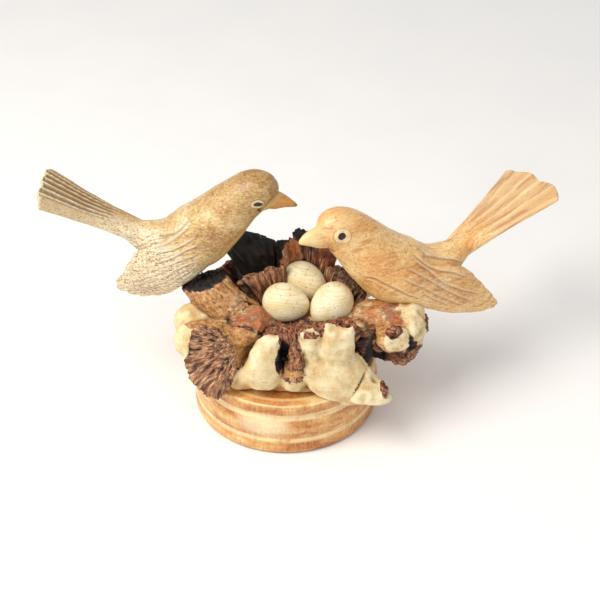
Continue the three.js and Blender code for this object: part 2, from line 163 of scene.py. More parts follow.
def withModifier(mesh, kind, **settings):  # the mesh that one modifier makes of another
    piece = objectOf("work", mesh)
    modifier = piece.modifiers.new("work", kind)
    for name, value in settings.items():
        setattr(modifier, name, value)
    made = bpy.data.meshes.new_from_object(piece.evaluated_get(bpy.context.evaluated_depsgraph_get()))
    bpy.data.objects.remove(piece)
    return made


def oneSkin(mesh, voxel):  # a single even skin round everything in the mesh
    return withModifier(mesh, "REMESH", mode="VOXEL", voxel_size=voxel)


def cutAway(mesh, surface):  # the mesh without what lies inside a closed surface
    cutter = objectOf("cutter", meshOf("cutter", [surface]))
    made = withModifier(mesh, "BOOLEAN", operation="DIFFERENCE", solver="MANIFOLD", object=cutter)
    bpy.data.objects.remove(cutter)
    return made


def readPoints(mesh):
    points = np.empty(len(mesh.vertices) * 3)
    mesh.vertices.foreach_get("co", points)
    return points.reshape(-1, 3)


def writePoints(mesh, points):
    mesh.vertices.foreach_set("co", points.ravel())
    mesh.update()


def readSkin(mesh):  # each point and its normal
    normals = np.empty(len(mesh.vertices) * 3)
    mesh.vertex_normals.foreach_get("vector", normals)
    return readPoints(mesh), normals.reshape(-1, 3)


# Each point goes a share of the way to the middle of its neighbours and then a little more than that
# back, which takes off small steps and keeps the size.
def relax(mesh, times, share=0.5, back=0.52, hold=0.0):
    points = readPoints(mesh)
    edges = np.empty(len(mesh.edges) * 2, np.int32)
    mesh.edges.foreach_get("vertices", edges)
    starts, ends = np.vstack([edges.reshape(-1, 2), edges.reshape(-1, 2)[:, ::-1]]).T
    degree = np.bincount(starts)[:, None]
    free = np.reshape(1 - hold, (-1, 1))
    for _ in range(times):
        for step in (share, -back):
            around = np.stack([np.bincount(starts, points[ends, k]) for k in range(3)], 1)
            points = points + step * free * (around / degree - points)
    writePoints(mesh, points)


# How many millimetres each point lies below the surface that plain smoothing makes, so more in a hollow.
def hollows(mesh, times):
    points, normals = readSkin(mesh)
    relax(mesh, times, back=0.0)
    sunk = np.einsum("ij,ij->i", readPoints(mesh) - points, normals)
    writePoints(mesh, points)
    return sunk


def keepNumbers(mesh, name, values):  # a number or a vector for each point, for a material to read
    kind, field = ("FLOAT", "value") if values.ndim == 1 else ("FLOAT_VECTOR", "vector")
    mesh.attributes.new(name, kind, "POINT").data.foreach_set(field, values.astype(np.float32).ravel())


def turned(points, degrees, axis):  # turned about one of the axes through the origin
    c, s = math.cos(math.radians(degrees)), math.sin(math.radians(degrees))
    i, j = {"x": (1, 2), "y": (2, 0), "z": (0, 1)}[axis]
    made = points.copy()
    made[:, i] = c * points[:, i] - s * points[:, j]
    made[:, j] = s * points[:, i] + c * points[:, j]
    return made


def finished(name, mesh, material, node):  # a smooth piece in metres, in place of a node
    writePoints(mesh, readPoints(mesh) * mm)
    mesh.polygons.foreach_set("use_smooth", np.ones(len(mesh.polygons), bool))
    mesh.materials.clear()
    mesh.materials.append(material)
    piece = objectOf(name, mesh)
    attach(piece, "root")
    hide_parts(node)
    print(f"{name}: {len(mesh.loops) - 2 * len(mesh.polygons)} triangles")


# Materials.

def paint(code):  # a colour from its web code, as linear light
    values = [int(code[k:k + 2], 16) / 255 for k in (1, 3, 5)]
    return [*((v / 12.92 if v <= 0.04045 else ((v + 0.055) / 1.055) ** 2.4) for v in values), 1.0]


class Flow:
    # What comes out of a node. Sums written with it add Math nodes, and its methods the nodes that read it.
    def __init__(self, finish, socket):
        self.finish = finish
        self.socket = socket

    def sum(self, operation, *values):
        return self.finish.node("ShaderNodeMath", {"operation": operation}, dict(enumerate(values)))

    def __add__(self, other):
        return self.sum("ADD", self, other)

    def __sub__(self, other):
        return self.sum("SUBTRACT", self, other)

    def __rsub__(self, other):
        return self.sum("SUBTRACT", other, self)

    def __mul__(self, other):
        return self.sum("MULTIPLY", self, other)

    def __truediv__(self, other):
        return self.sum("DIVIDE", self, other)

    def __pow__(self, other):
        return self.sum("POWER", self, other)

    def __abs__(self):
        return self.sum("ABSOLUTE", self)

    __radd__ = __add__
    __rmul__ = __mul__

    def axes(self):
        parts = self.finish.node("ShaderNodeSeparateXYZ", None, {0: self})
        return [Flow(self.finish, output) for output in parts.socket.node.outputs]

    def stretched(self, size):  # the same place, counted in steps of that size along each axis
        steps = [1 / value for value in size]
        return self.finish.node("ShaderNodeVectorMath", {"operation": "MULTIPLY"}, {0: self, 1: steps})

    def noise(self, size=None, detail=2.0, roughness=0.5, twist=0.0, scale=1.0):
        inputs = {"Scale": scale, "Detail": detail, "Roughness": roughness, "Distortion": twist}
        inputs["Vector"] = self.stretched(size) if size else self
        return self.finish.node("ShaderNodeTexNoise", None, inputs, "Fac")

    def between(self, low, high):  # 0 at low, 1 at high, an S between
        inputs = {"Value": self, "From Min": low, "From Max": high}
        return self.finish.node("ShaderNodeMapRange", {"interpolation_type": "SMOOTHSTEP"}, inputs)

    def ramp(self, *stops):  # colours along a number
        made = [(place, paint(code)) for place, code in stops]
        return self.finish.node("ShaderNodeValToRGB", {"stops": made}, {"Fac": self})


class Finish:
    # A material, and one way to add a node to it: its settings first, then its inputs.
    def __init__(self, name):
        self.material = bpy.data.materials.new(name)
        self.material.use_nodes = True
        self.tree = self.material.node_tree
        self.tree.nodes.clear()

    def node(self, kind, settings=None, inputs=None, output=0):
        node = self.tree.nodes.new(kind)
        for name, value in (settings or {}).items():
            if name == "stops":
                for element, (place, colour) in zip(node.color_ramp.elements, value[:2]):
                    element.position, element.color = place, colour
                for place, colour in value[2:]:
                    node.color_ramp.elements.new(place).color = colour
            else:
                setattr(node, name, value)
        for name, value in (inputs or {}).items():
            if isinstance(value, Flow):
                self.tree.links.new(value.socket, node.inputs[name])
            else:
                node.inputs[name].default_value = paint(value) if isinstance(value, str) else value
        return Flow(self, node.outputs[output]) if node.outputs else None

    def local(self, at=(0, 0, 0), roll=0, heading=0):  # millimetres from a place, in axes turned with it
        angles = (math.radians(roll), 0, math.radians(heading))
        where = self.node("ShaderNodeTexCoord", output="Object")
        inputs = {"Vector": where, "Location": [v * mm for v in at], "Rotation": angles, "Scale": (mm,) * 3}
        return self.node("ShaderNodeMapping", {"vector_type": "TEXTURE"}, inputs)

    def kept(self, name, output="Fac"):  # a number kept on the mesh
        return self.node("ShaderNodeAttribute", {"attribute_name": name}, output=output)

    def blend(self, share, low, high):  # low at share 0, high at share 1
        return self.node("ShaderNodeMix", {"data_type": "RGBA"}, {0: share, 6: low, 7: high}, 2)

    def layered(self, colour, *layers):  # each layer's colour over what lies below it, as far as its share
        for share, code in layers:
            colour = self.blend(share, colour, code)
        return colour

    def close(self, colour, roughness, height, depth, **uniform):  # the shader, with relief in millimetres
        bump = self.node("ShaderNodeBump", None, {"Strength": 1.0, "Distance": depth * mm, "Height": height})
        inputs = {"Base Color": colour, "Roughness": roughness, "Normal": bump}
        inputs.update({name.replace("_", " "): value for name, value in uniform.items()})
        shader = self.node("ShaderNodeBsdfPrincipled", None, inputs)
        self.node("ShaderNodeOutputMaterial", None, {"Surface": shader})
        return self.material


# Camera, light and floor.

view = {"elevation": 37.0, "distance": 900.0, "target": (7.8, 0.0, 65.1), "lens": 100.3, "clip": (0.05, 20)}
studio = {
    "key": {"azimuth": -58, "elevation": 52, "distance": 900, "size": 700, "watts": 8.2, "tint": "#fff8ee"},
    "fill": {"azimuth": 40, "elevation": 30, "distance": 1100, "size": 700, "watts": 0.9, "tint": "#f4f7ff"},
    "surround": 0.56, "floor": ("#f3f3f4", "#fbfaf8"), "floorRough": 0.9, "floorLevel": -0.001,
    "floorCorners": ((-3, -3), (3, -3), (3, 5), (-3, 5)),
}


def onSphere(azimuth, elevation, distance):  # from the target, azimuth 0 in front and positive to the right
    a, e = math.radians(azimuth), math.radians(elevation)
    offset = Vector((math.sin(a) * math.cos(e), -math.cos(a) * math.cos(e), math.sin(e)))
    return (Vector(view["target"]) + offset * distance) * mm


def aimed(name, data, place):  # a camera or light that looks from a place to the target
    thing = objectOf(name, data)
    thing.location = place
    thing.rotation_euler = (Vector(view["target"]) * mm - place).to_track_quat("-Z", "Y").to_euler()
    return thing


def makeStudio():
    scene = bpy.context.scene
    camera = bpy.data.cameras.new("camera")
    camera.lens = view["lens"]
    camera.clip_start, camera.clip_end = view["clip"]
    scene.camera = aimed("camera", camera, onSphere(0, view["elevation"], view["distance"]))
    for name in ("key", "fill"):
        lamp = studio[name]
        light = bpy.data.lights.new(name, "AREA")
        light.shape = "DISK"
        light.size = lamp["size"] * mm
        light.energy = lamp["watts"]
        light.color = paint(lamp["tint"])[:3]
        aimed(name, light, onSphere(lamp["azimuth"], lamp["elevation"], lamp["distance"]))
    world = bpy.data.worlds.new("surround")
    world.use_nodes = True
    surround = world.node_tree.nodes["Background"].inputs
    surround["Color"].default_value = (1, 1, 1, 1)
    surround["Strength"].default_value = studio["surround"]
    scene.world = world
    scene.view_settings.view_transform = "Standard"
    finish = Finish("paleFloor")
    shade = finish.local().noise((60, 60, 60))
    colour = finish.blend(shade, *studio["floor"])
    mesh = bpy.data.meshes.new("floor")
    corners = [(x, y, studio["floorLevel"]) for x, y in studio["floorCorners"]]
    mesh.from_pydata(corners, [], [(0, 1, 2, 3)])
    mesh.materials.append(finish.close(colour, studio["floorRough"], shade, 0.01))
    objectOf("floor", mesh)
    print("camera, lights and floor are set")


makeStudio()


# Turned base.

# A swell is a half wave out of the side: radius, how far out, where it starts, how tall, and its steps.
base = {
    "height": 32.0, "radius": 50.5, "rim": 49.6, "seat": 41.0, "seatDepth": 1.4, "sides": 256,
    "foot": [(0, 0), (20, 0), (49.3, 0), (50, 0.3), (50.4, 1.0), (50.5, 2.0), (50.15, 6.2)], "lip": 1.5,
    "swells": [(49.75, 0.5, 6.6, 2.2, 6), (49.5, 1.1, 9.6, 12.4, 14), (49.5, -0.55, 22.4, 2.8, 8)],
    "pale": "#ead09c", "straw": "#dba863", "honey": "#cd904f", "amber": "#b06529", "dark": "#84481e",
}
clearance = 0.35


# The profile from the middle of the underside, up the side, over the quarter round of the lip and in to
# the middle of the seat, each as radius and height.
def baseProfile():
    height, rim, lip, seat = base["height"], base["rim"], base["lip"], base["seat"]
    points = list(base["foot"])
    for radius, out, low, tall, steps in base["swells"]:
        along = np.arange(steps + 1) / steps
        points += zip(radius + out * np.sin(np.pi * along), low + tall * along)
    angle = np.linspace(0, np.pi / 2, 7)
    points += [(rim, 25.8), (rim, 28.5)]
    points += zip(rim - lip + lip * np.cos(angle), height - lip + lip * np.sin(angle))
    points += [(seat + 5, height), (seat + 2, height - 0.5)]
    return points + [(radius, height - base["seatDepth"]) for radius in (seat, 30, 15, 0)]


# Honey wood in blotches, bands and ticks of grain, paler where light falls and along the edges of its turned
# grooves: both are painted highlight.
def baseWood():
    finish = Finish("turnedHoneyWood")
    where = finish.local()
    x, y, z = where.axes()
    blotch = where.noise((17, 17, 7), detail=4, roughness=0.6)
    band = where.noise((60, 60, 3.6))
    tick = where.noise((0.55, 0.55, 2.6), detail=3, roughness=0.65)
    stroke = where.noise((1.3, 1.3, 9), detail=4, roughness=0.7)
    edgeSheen = where.noise((9, 9, 9), detail=3)
    # a painted highlight patch on the front of the side, left of centre
    paintedHighlight = (abs(x + 12) / 17) ** 2 + (abs(y + 50) / 22) ** 2 + (abs(z - 18) / 9) ** 2
    # pale bands at the cove, the bead and the top edge: painted highlight on the turned edges, broken up by
    # noise
    cove = z.between(21.2, 22.2) * z.between(26.2, 25.0)
    bead = z.between(6.0, 6.8) * z.between(9.6, 8.8)
    edge = z.between(30.6, 31.4) * z.between(31.95, 31.7)
    colour = (blotch * 0.6 + band * 0.15 + stroke * 0.25).ramp(
        (0.38, base["pale"]), (0.45, base["straw"]), (0.51, base["honey"]), (0.59, base["amber"]),
    )
    colour = finish.layered(
        colour,
        (paintedHighlight.between(1.2, 0.1) * 0.55, "#fbeec6"),
        ((cove * 0.75 + bead * 0.7 + edge * 0.55) * edgeSheen.between(0.28, 0.5), "#f6e0ac"),
        (tick.between(0.56, 0.74) * 0.55, base["dark"]),
        (tick.between(0.44, 0.3) * 0.35, "#fbe9bf"),
    )
    rough = where.noise(scale=0.12) * 0.2 + 0.3
    return finish.close(colour, rough, tick * 0.7 + blotch * 0.3, 0.12, Coat_Weight=0.25, Coat_Roughness=0.2)


baseMesh = meshOf("turned_base_wood", [carriedRound(baseProfile(), base["sides"])])
finished("turned_base_wood", baseMesh, baseWood(), "turned_base")


# Eggs.

eggs = {
    "figure": (-2, 0, -6), "length": 25.5, "radius": 10.4, "point": 0.13, "sides": (96, 72),
    "pale": "#f4ebc8", "deep": "#e0cd9c", "ring": "#b08d50", "fibre": "#c8aa6c", "speck": "#6f5a33",
    "wave": {"Scale": 5.5, "Distortion": 2.2, "Detail": 2.0, "Detail Scale": 0.6},
    "laid": {
        "egg_front_left": {"at": (0.3, -5, 67), "turn": 172, "lift": 8},
        "egg_front_right": {"at": (24.4, -6, 67), "turn": 35, "lift": 28},
        "egg_back": {"at": (10.4, 13.2, 67.5), "turn": 150, "lift": 14},
    },
}


# Half an ellipse turned round its long axis, slimmer towards one end, then lifted, turned and moved.
def eggSurface(egg, grow=0.0):
    def place(turn, along):
        angle, around = np.pi * along, 2 * np.pi * turn
        girth = (eggs["radius"] + grow) * np.sin(angle) * (1 + eggs["point"] * np.cos(angle))
        length = (eggs["length"] / 2 + grow) * np.cos(angle)
        points = np.stack([length, girth * np.cos(around), girth * np.sin(around)], 1)
        return turned(turned(points, -egg["lift"], "y"), egg["turn"], "z") + egg["at"]

    return closedSurface(*eggs["sides"], place)


# Pale clouded wood with ring lines, fibres along the egg and dark specks.
def eggWood(name, egg):
    finish = Finish(f"{name}Wood")
    where = finish.local(egg["at"], 0, egg["turn"])
    figure = finish.local(np.add(egg["at"], eggs["figure"]), 0, egg["turn"])
    cloud = where.noise((14, 9, 9), detail=3)
    rings = finish.node(
        "ShaderNodeTexWave", {"wave_type": "RINGS", "rings_direction": "Y", "wave_profile": "SAW"},
        {"Vector": figure.stretched((34, 24, 24)), **eggs["wave"]}, "Fac",
    )
    lines = rings.between(0.82, 0.98)
    fibre = where.noise((3.5, 0.5, 0.5), detail=3, roughness=0.6)
    speck = where.noise((1.5, 0.8, 0.6), detail=1)
    colour = finish.layered(
        eggs["pale"],
        (cloud.between(0.35, 0.7), eggs["deep"]),
        (lines * 0.38, eggs["ring"]),
        (fibre.between(0.55, 0.75) * 0.3, eggs["fibre"]),
        (speck.between(0.66, 0.73) * 0.8, eggs["speck"]),
    )
    height = 0.6 * fibre - 0.5 * lines - 1.4 * speck.between(0.7, 0.76)
    return finish.close(colour, fibre * 0.2 + 0.42, height, 0.12)


for name, egg in eggs["laid"].items():
    finished(f"{name}_wood", meshOf(name, [eggSurface(egg)]), eggWood(name, egg), name)


# Birds.

# Lengths are along the bird's own line: forwards from the middle of the body, and up.
# body rows: forwards, aside, up, half-width, half-height. The wings stand out by out. eye and throat are
# rounds, each a middle and half-widths. A crease has its width, depth, lip and stops.
birds = {
    "left_bird": {
        "at": (-48.8, 14.3, 96.8), "heading": -3, "roll": 0, "voxel": 0.46,
        "body": [
            [-50, 0, 13, 6, 1.8], [-42, 0, 8, 6.4, 3.4], [-34, 0, 3.6, 7, 5.6], [-26, 0, -0.4, 9.2, 8.8],
            [-14, 0, -3.5, 14, 13.9], [0, 0, 0, 17.6, 17.6], [11, 0, 9.6, 16, 16.2],
            [23.5, 0, 22.9, 13, 13.1], [33, 0, 30.4, 11.4, 11.4], [40, 0, 29, 8.8, 9],
            [43.5, 0, 26.7, 4.8, 5],
        ],
        "beak": [
            [36, 0, 27.4, 5.4, 6.4], [43, 0, 25.4, 4.9, 5.4], [49, 0, 24.3, 3, 3.3],
            [55.6, 0, 21.8, 0.7, 0.9],
        ],
        "throat": ((36.5, 0, 23.8), (6.5, 5.6, 4.5)),
        "tail": {
            "root": (-20, 0, -3), "end": (-79.6, 0, 31.6), "half": (6, 19.5), "twist": 0, "feathers": 7,
            "scallop": 1.6, "flutes": 8, "depth": 1.3, "sharp": 0.6, "shade": 1, "plain": -0.62,
        },
        "wings": [
            {"side": -1, "tip": (-41.5, -23.5), "spread": 1}, {"side": 1, "tip": (-29, -14), "spread": 0.75},
        ],
        "wing": {
            "out": [9, 14.2, 15.4, 14.6, 13], "upper": [6, 11.5, 14.5, 14.5, 13],
            "lower": [6, 11.5, 15.5, 17, 15], "corners": (19, 10), "feathers": 5,
        },
        "eye": ((35.2, 10.1, 29), (3.0, 0.8, 3.0)),
        "lines": 11, "sweep": 0.28, "furrow": 0.42, "scraped": 0.3, "creases": [
            (0.6, 0.8, 0.6, [(45.8, 32), (44, 29.7), (42, 27.4), (40.4, 24.6)]),
            (0.55, 0.5, 0.4, [(0.5, 19), (-1.6, 16.6), (-4.7, 12.9), (-9, 9.2), (-14.6, 6), (-20.2, 5)]),
            (0.6, 0.65, 0.6, [(0.8, 15.6), (-3.5, 11.6), (-8.4, 7), (-13.1, 4), (-23.4, 0.3)]),
            (0.6, 0.65, 0.6, [(3, 12.4), (0.9, 8.2), (-3.4, 5), (-8.8, 1.6), (-16, -0.6), (-22.9, -0.8)]),
            (0.6, 0.65, 0.6, [(5.1, 6.2), (-0.2, 3.1), (-5.6, -0.2), (-11, -3.4), (-19.2, -7.3)]),
            (0.6, 0.6, 0.5, [(4.9, 1.2), (0.7, -1.9), (-5.8, -4.5), (-13.4, -8.6)]),
            (0.6, 0.6, 0.5, [(3.1, -5.6), (-1.7, -6.9), (-8.7, -10.5), (-16, -17.7)]),
            (0.6, 0.5, 0.4, [(0.2, -11.5), (-3.6, -13.3), (-9.6, -17.6)]),
        ],
    },
    "right_bird": {
        "at": (61, 9, 78.5), "heading": 206, "roll": 8, "voxel": 0.5,
        "body": [
            [-58, -5, 10.6, 6.5, 2], [-49, -3.2, 6.8, 7, 3.6], [-40, -1.4, 3.2, 7.6, 5.6],
            [-31, 0, -0.2, 9.4, 9], [-16.3, 0, -3.8, 15.2, 15.2], [0, 0, 0, 19.2, 19.2],
            [14.4, 0, 13, 16.9, 16.9], [25.6, 0, 26.6, 13.8, 14.1], [33.5, 0, 34, 12, 12.3],
            [40.5, 0, 35, 9.6, 10.2], [46, 0, 33.4, 5.4, 5.8],
        ],
        "beak": [[38, 0, 33, 6, 8], [46, 0, 33, 5.2, 6], [53, 0, 33.6, 3, 3.6], [58, 0, 32.8, 0.7, 0.9]],
        "throat": ((38, 0, 29), (5, 5, 4)),
        "tail": {
            "root": (-24, 0, -3), "end": (-95, -12.3, 25.5), "half": (6, 23), "twist": -4, "feathers": 5,
            "scallop": 2.6, "flutes": 5, "depth": 0.7, "sharp": 1.4, "shade": 0.3, "plain": -2,
        },
        "wings": [
            {"side": 1, "tip": (-53.5, -30), "spread": 1}, {"side": -1, "tip": (-36, -18), "spread": 0.6},
        ],
        "wing": {
            "out": [10, 15, 16, 14.6, 12.5], "upper": [6, 12, 16, 16.5, 14], "lower": [6, 10, 11, 11, 10],
            "corners": (24, 15), "feathers": 6,
        },
        "eye": ((37.4, 10.1, 35.6), (4.2, 0.9, 4.2)),
        "lines": 12, "sweep": 0.2, "furrow": 0.2, "scraped": 0.08, "creases": [
            (0.6, 0.5, 0.3, [(47, 40), (42.7, 39.5), (40.5, 40.2)]),
            (0.7, 0.6, 0.4, [(28.4, 9.1), (21.5, 7.3), (16.4, 3.5), (11.2, -0.6), (2.2, -7.5), (-5, -12)]),
            (0.55, 0.5, 0.55, [(-6.5, 17.3), (-7.7, 14.7), (-12.1, 10), (-20.1, 5.4), (-28.7, 1.9),
                (-38, -4)]),
            (0.55, 0.5, 0.55, [(-0.8, 16.1), (-4.8, 11.9), (-10.2, 5.8), (-16.3, 2.1), (-25.4, -1.8),
                (-36, -9)]),
            (0.55, 0.5, 0.55, [(0.3, 13.6), (-7.2, 6.6), (-12.5, 0.7), (-18.1, -5.5), (-27.6, -12.3),
                (-43, -21)]),
            (0.55, 0.4, 0.5, [(7, 11.8), (-0.2, 6.5), (-9.2, -1.1), (-14.9, -6.2), (-24.3, -14.3),
                (-40, -26)]),
            (0.55, 0.35, 0.45, [(9.9, 6.9), (0.7, 0.1), (-10.5, -8.6), (-20.9, -16.8), (-33, -26)]),
            (0.55, 0.35, 0.45, [(-3.6, -6.8), (-11.6, -13.3), (-21.4, -20.5)]),
        ],
    },
}

# What both birds share: sides and rings of each surface, and thicknesses at the root and the tip.
form = {
    "body": (96, 150), "cap": 0.12, "beak": (48, 50), "beakRoot": 0.2, "beakPoint": 0.1, "boss": (48, 24),
    "tail": (240, 110), "tailThick": (5, 1.6), "opens": 1.15, "sag": 2.4, "rounded": 4, "faceShare": 0.13,
    "rootShare": 0.1, "thinnest": 0.2, "wing": (160, 90), "wingThick": (3.4, 1.3), "wingRoot": (14.0, 3.0),
    "curl": 2.2, "tips": 1.7, "chips": 0.9, "throat": (48, 32), "settle": 7, "shoulders": 90,
}


# Round sections square to the line from rump to face, drawn in to a dome at both ends.
def bodySurface(rows, grow=0.0):
    def place(turn, along):
        share = mix(along, 0.5 - 0.5 * np.cos(np.pi * along), 0.5)
        forwards, aside, up, halfWidth, halfHeight = followRows(rows, share).T
        line = followRows(rows, share + 0.01) - followRows(rows, np.maximum(0, share - 0.01))
        slope = unit(line[:, [0, 2]])
        fromEnd = np.minimum(1, np.minimum(share, 1 - share) / form["cap"])
        cap = np.sqrt(np.maximum(0, 1 - (1 - fromEnd) ** 2))
        sideways = (halfWidth + grow) * cap * np.cos(2 * np.pi * turn)
        lifted = (halfHeight + grow) * cap * np.sin(2 * np.pi * turn)
        return np.stack([forwards - lifted * slope[:, 1], aside + sideways, up + lifted * slope[:, 0]], 1)

    return closedSurface(*form["body"], place)


# Oval sections that shrink to a blunt point.
def beakSurface(rows):
    def place(turn, along):
        forwards, aside, up, halfWidth, halfHeight = followRows(rows, along).T
        reach = np.minimum(along / form["beakRoot"], np.sqrt((1 - along) / form["beakPoint"]))
        reach, angle = np.minimum(1, reach), 2 * np.pi * turn
        sideways, lifted = halfWidth * reach * np.cos(angle), halfHeight * reach * np.sin(angle)
        return np.stack([forwards, aside + sideways, up + lifted], 1)

    return closedSurface(*form["beak"], place)


# A thin plate whose across runs from -1 to 1 over one face and back over the other, with furrows
# between its feathers on the outer face.
def plateSurface(plate, sides, rings):
    def place(turn, along):
        share, reach = opened(along, form["rootShare"], form["faceShare"])
        fold = 1 - 4 * np.abs(turn - 0.5)
        face = np.where(turn < 0.5, 1, -1)
        across = fold * reach
        furrow = np.abs(np.sin(np.pi * plate["feathers"] * (across + 1) / 2)) ** 0.7
        thick = plate["thickness"](share) * np.sqrt(np.maximum(0, 1 - fold ** 6)) * reach
        ridged = np.where(face > 0, thick - plate["furrow"] * share ** 0.6 * (1 - furrow) * reach, thick)
        return plate["place"](share, across, face * np.maximum(form["thinnest"] * thick, ridged))

    return closedSurface(sides, rings, place)


def tailFrame(tail):  # root, length, and the directions along, across and up from the tail
    root, end = np.array(tail["root"], float), np.array(tail["end"], float)
    forward = unit(end - root)
    twist = math.radians(tail["twist"])
    wide = np.array([0, math.cos(twist), math.sin(twist)])
    wide = unit(wide - forward * wide.dot(forward))
    upward = np.cross(wide, forward)
    return root, np.linalg.norm(end - root), forward, wide, upward * np.sign(upward[2])


def tailHalf(tail, share):  # half the width, which opens out a little faster than the length
    return mix(*tail["half"], share ** form["opens"])


# A fan whose end is scalloped by its feathers and rounded off, and whose edges sag below its middle.
def tailSurface(tail):
    root, length, forward, wide, upward = tailFrame(tail)

    def place(share, across, off):
        feather = np.abs(np.cos(np.pi * tail["feathers"] * (across + 1) / 4))
        edge = tail["scallop"] * (feather - 1) - form["rounded"] * across ** 4
        sag = form["sag"] * across ** 2 * share
        along = ((length + edge) * share)[:, None] * forward
        aside = tailHalf(tail, share) * across
        return root + along + aside[:, None] * wide + (off - sag)[:, None] * upward

    plate = {
        "feathers": tail["feathers"], "furrow": 0.0, "place": place,
        "thickness": lambda share: mix(*form["tailThick"], np.minimum(1, share * 1.6)),
    }
    return plateSurface(plate, *form["tail"])


# How far along and across a tail each point lies, and how much it belongs to the tail's upper face.
def onTail(tail, points, normals):
    root, length, forward, wide, upward = tailFrame(tail)
    away = points - root
    share = np.clip(away @ forward / length, 0, 1.05)
    across = away @ wide / tailHalf(tail, share)
    off = away @ upward + form["sag"] * across ** 2 * share
    mask = smooth(0.3, 0.5, share) * smooth(0.1, 0.5, normals @ upward) * smooth(-2.5, -0.5, off)
    return share, across, mask * smooth(1.05, 0.97, np.abs(across))


def wingLine(placing):  # root, length, and the directions to the tip and across, seen from the side
    root, tip = np.array(form["wingRoot"]), np.array(placing["tip"], float)
    line = unit(tip - root)
    return root, np.linalg.norm(tip - root), line, np.array([line[1], -line[0]])


def wingRows(wing):  # how far out, and the reach above and below, from root to tip
    return list(zip(wing["out"], wing["upper"], wing["lower"]))


def setBack(wing, across, size):  # how far the corners of a wing's end stay behind its middle
    return np.where(across > 0, wing["corners"][0] * size ** 1.2, wing["corners"][1] * size ** 2)


# A plate along the wing's line, as far out as its rows say and closer in towards both edges. The tips of
# the feathers, and chips between them, are left out where a wing is only a cutter.
def wingSurface(wing, placing, grow=0.0, furrow=0.35, ragged=True):
    root, length, line, over = wingLine(placing)
    rows = wingRows(wing)

    def place(share, across, off):
        out, upper, lower = followRows(rows, share).T
        half = np.where(across > 0, upper, lower) * placing["spread"]
        reached = share * (length + grow) - setBack(wing, across, np.abs(across)) * share ** 2
        if ragged:
            tips = np.abs(np.cos(np.pi * wing["feathers"] * (across + 1) / 2)) - 0.6
            chips = softNoise(np.stack([across * 9, across * 0, across * 0], 1), 1, 4)
            reached = reached + (form["tips"] * tips + form["chips"] * chips) * share ** 6
        aside = placing["side"] * (out - form["curl"] * across ** 2 + off)
        flat = root + reached[:, None] * line + ((half + grow) * across)[:, None] * over
        return np.stack([flat[:, 0], aside, flat[:, 1]], 1)

    plate = {
        "feathers": wing["feathers"], "furrow": furrow, "place": place,
        "thickness": lambda share: mix(*form["wingThick"], share) + grow,
    }
    return plateSurface(plate, *form["wing"])


# How far along and across a wing each point lies, by turning the wing's own formula round: the share
# is put right four times for how far the corner stays behind.
def onWing(wing, placing, points, normals):
    root, length, line, over = wingLine(placing)
    rows = wingRows(wing)
    flat = points[:, [0, 2]] - root
    reached, height = flat @ line, flat @ over
    share = np.clip(reached / length, 0, 1)
    for _ in range(4):
        out, upper, lower = followRows(rows, share).T
        across = height / (np.where(height > 0, upper, lower) * placing["spread"])
        behind = setBack(wing, across, np.minimum(1.1, np.abs(across)))
        share = np.clip((reached + behind * share ** 2) / length, 0, 1.05)
    shell = smooth(-5, -2.5, placing["side"] * points[:, 1] - out)
    above = smooth(0.85, 1.0, across) * smooth(0.2, 0.6, placing["side"] * normals[:, 1])
    shell = np.maximum(shell * smooth(1.12, 0.98, np.abs(across)), above * smooth(1.75, 1.2, across))
    return share, across, shell * smooth(0.02, 0.2, share)


def placedBird(points, bird):  # rolled, turned and moved to its place
    return turned(turned(points, bird["roll"], "x"), bird["heading"], "z") + bird["at"]


# How far each flat point lies from a line through stops, and the share along the line where it is nearest.
def nearLine(flat, stops):
    steps = np.linalg.norm(np.diff(stops, axis=0), axis=1)
    passed = np.concatenate([[0], np.cumsum(steps)]) / steps.sum()
    best, share = np.full(len(flat), np.inf), np.zeros(len(flat))
    for index in range(len(steps)):
        line = stops[index + 1] - stops[index]
        along = np.clip((flat - stops[index]) @ line / line.dot(line), 0, 1)
        gap = np.linalg.norm(flat - stops[index] - along[:, None] * line, axis=1)
        closer = gap < best
        best = np.where(closer, gap, best)
        share = np.where(closer, mix(passed[index], passed[index + 1], along), share)
    return best, share
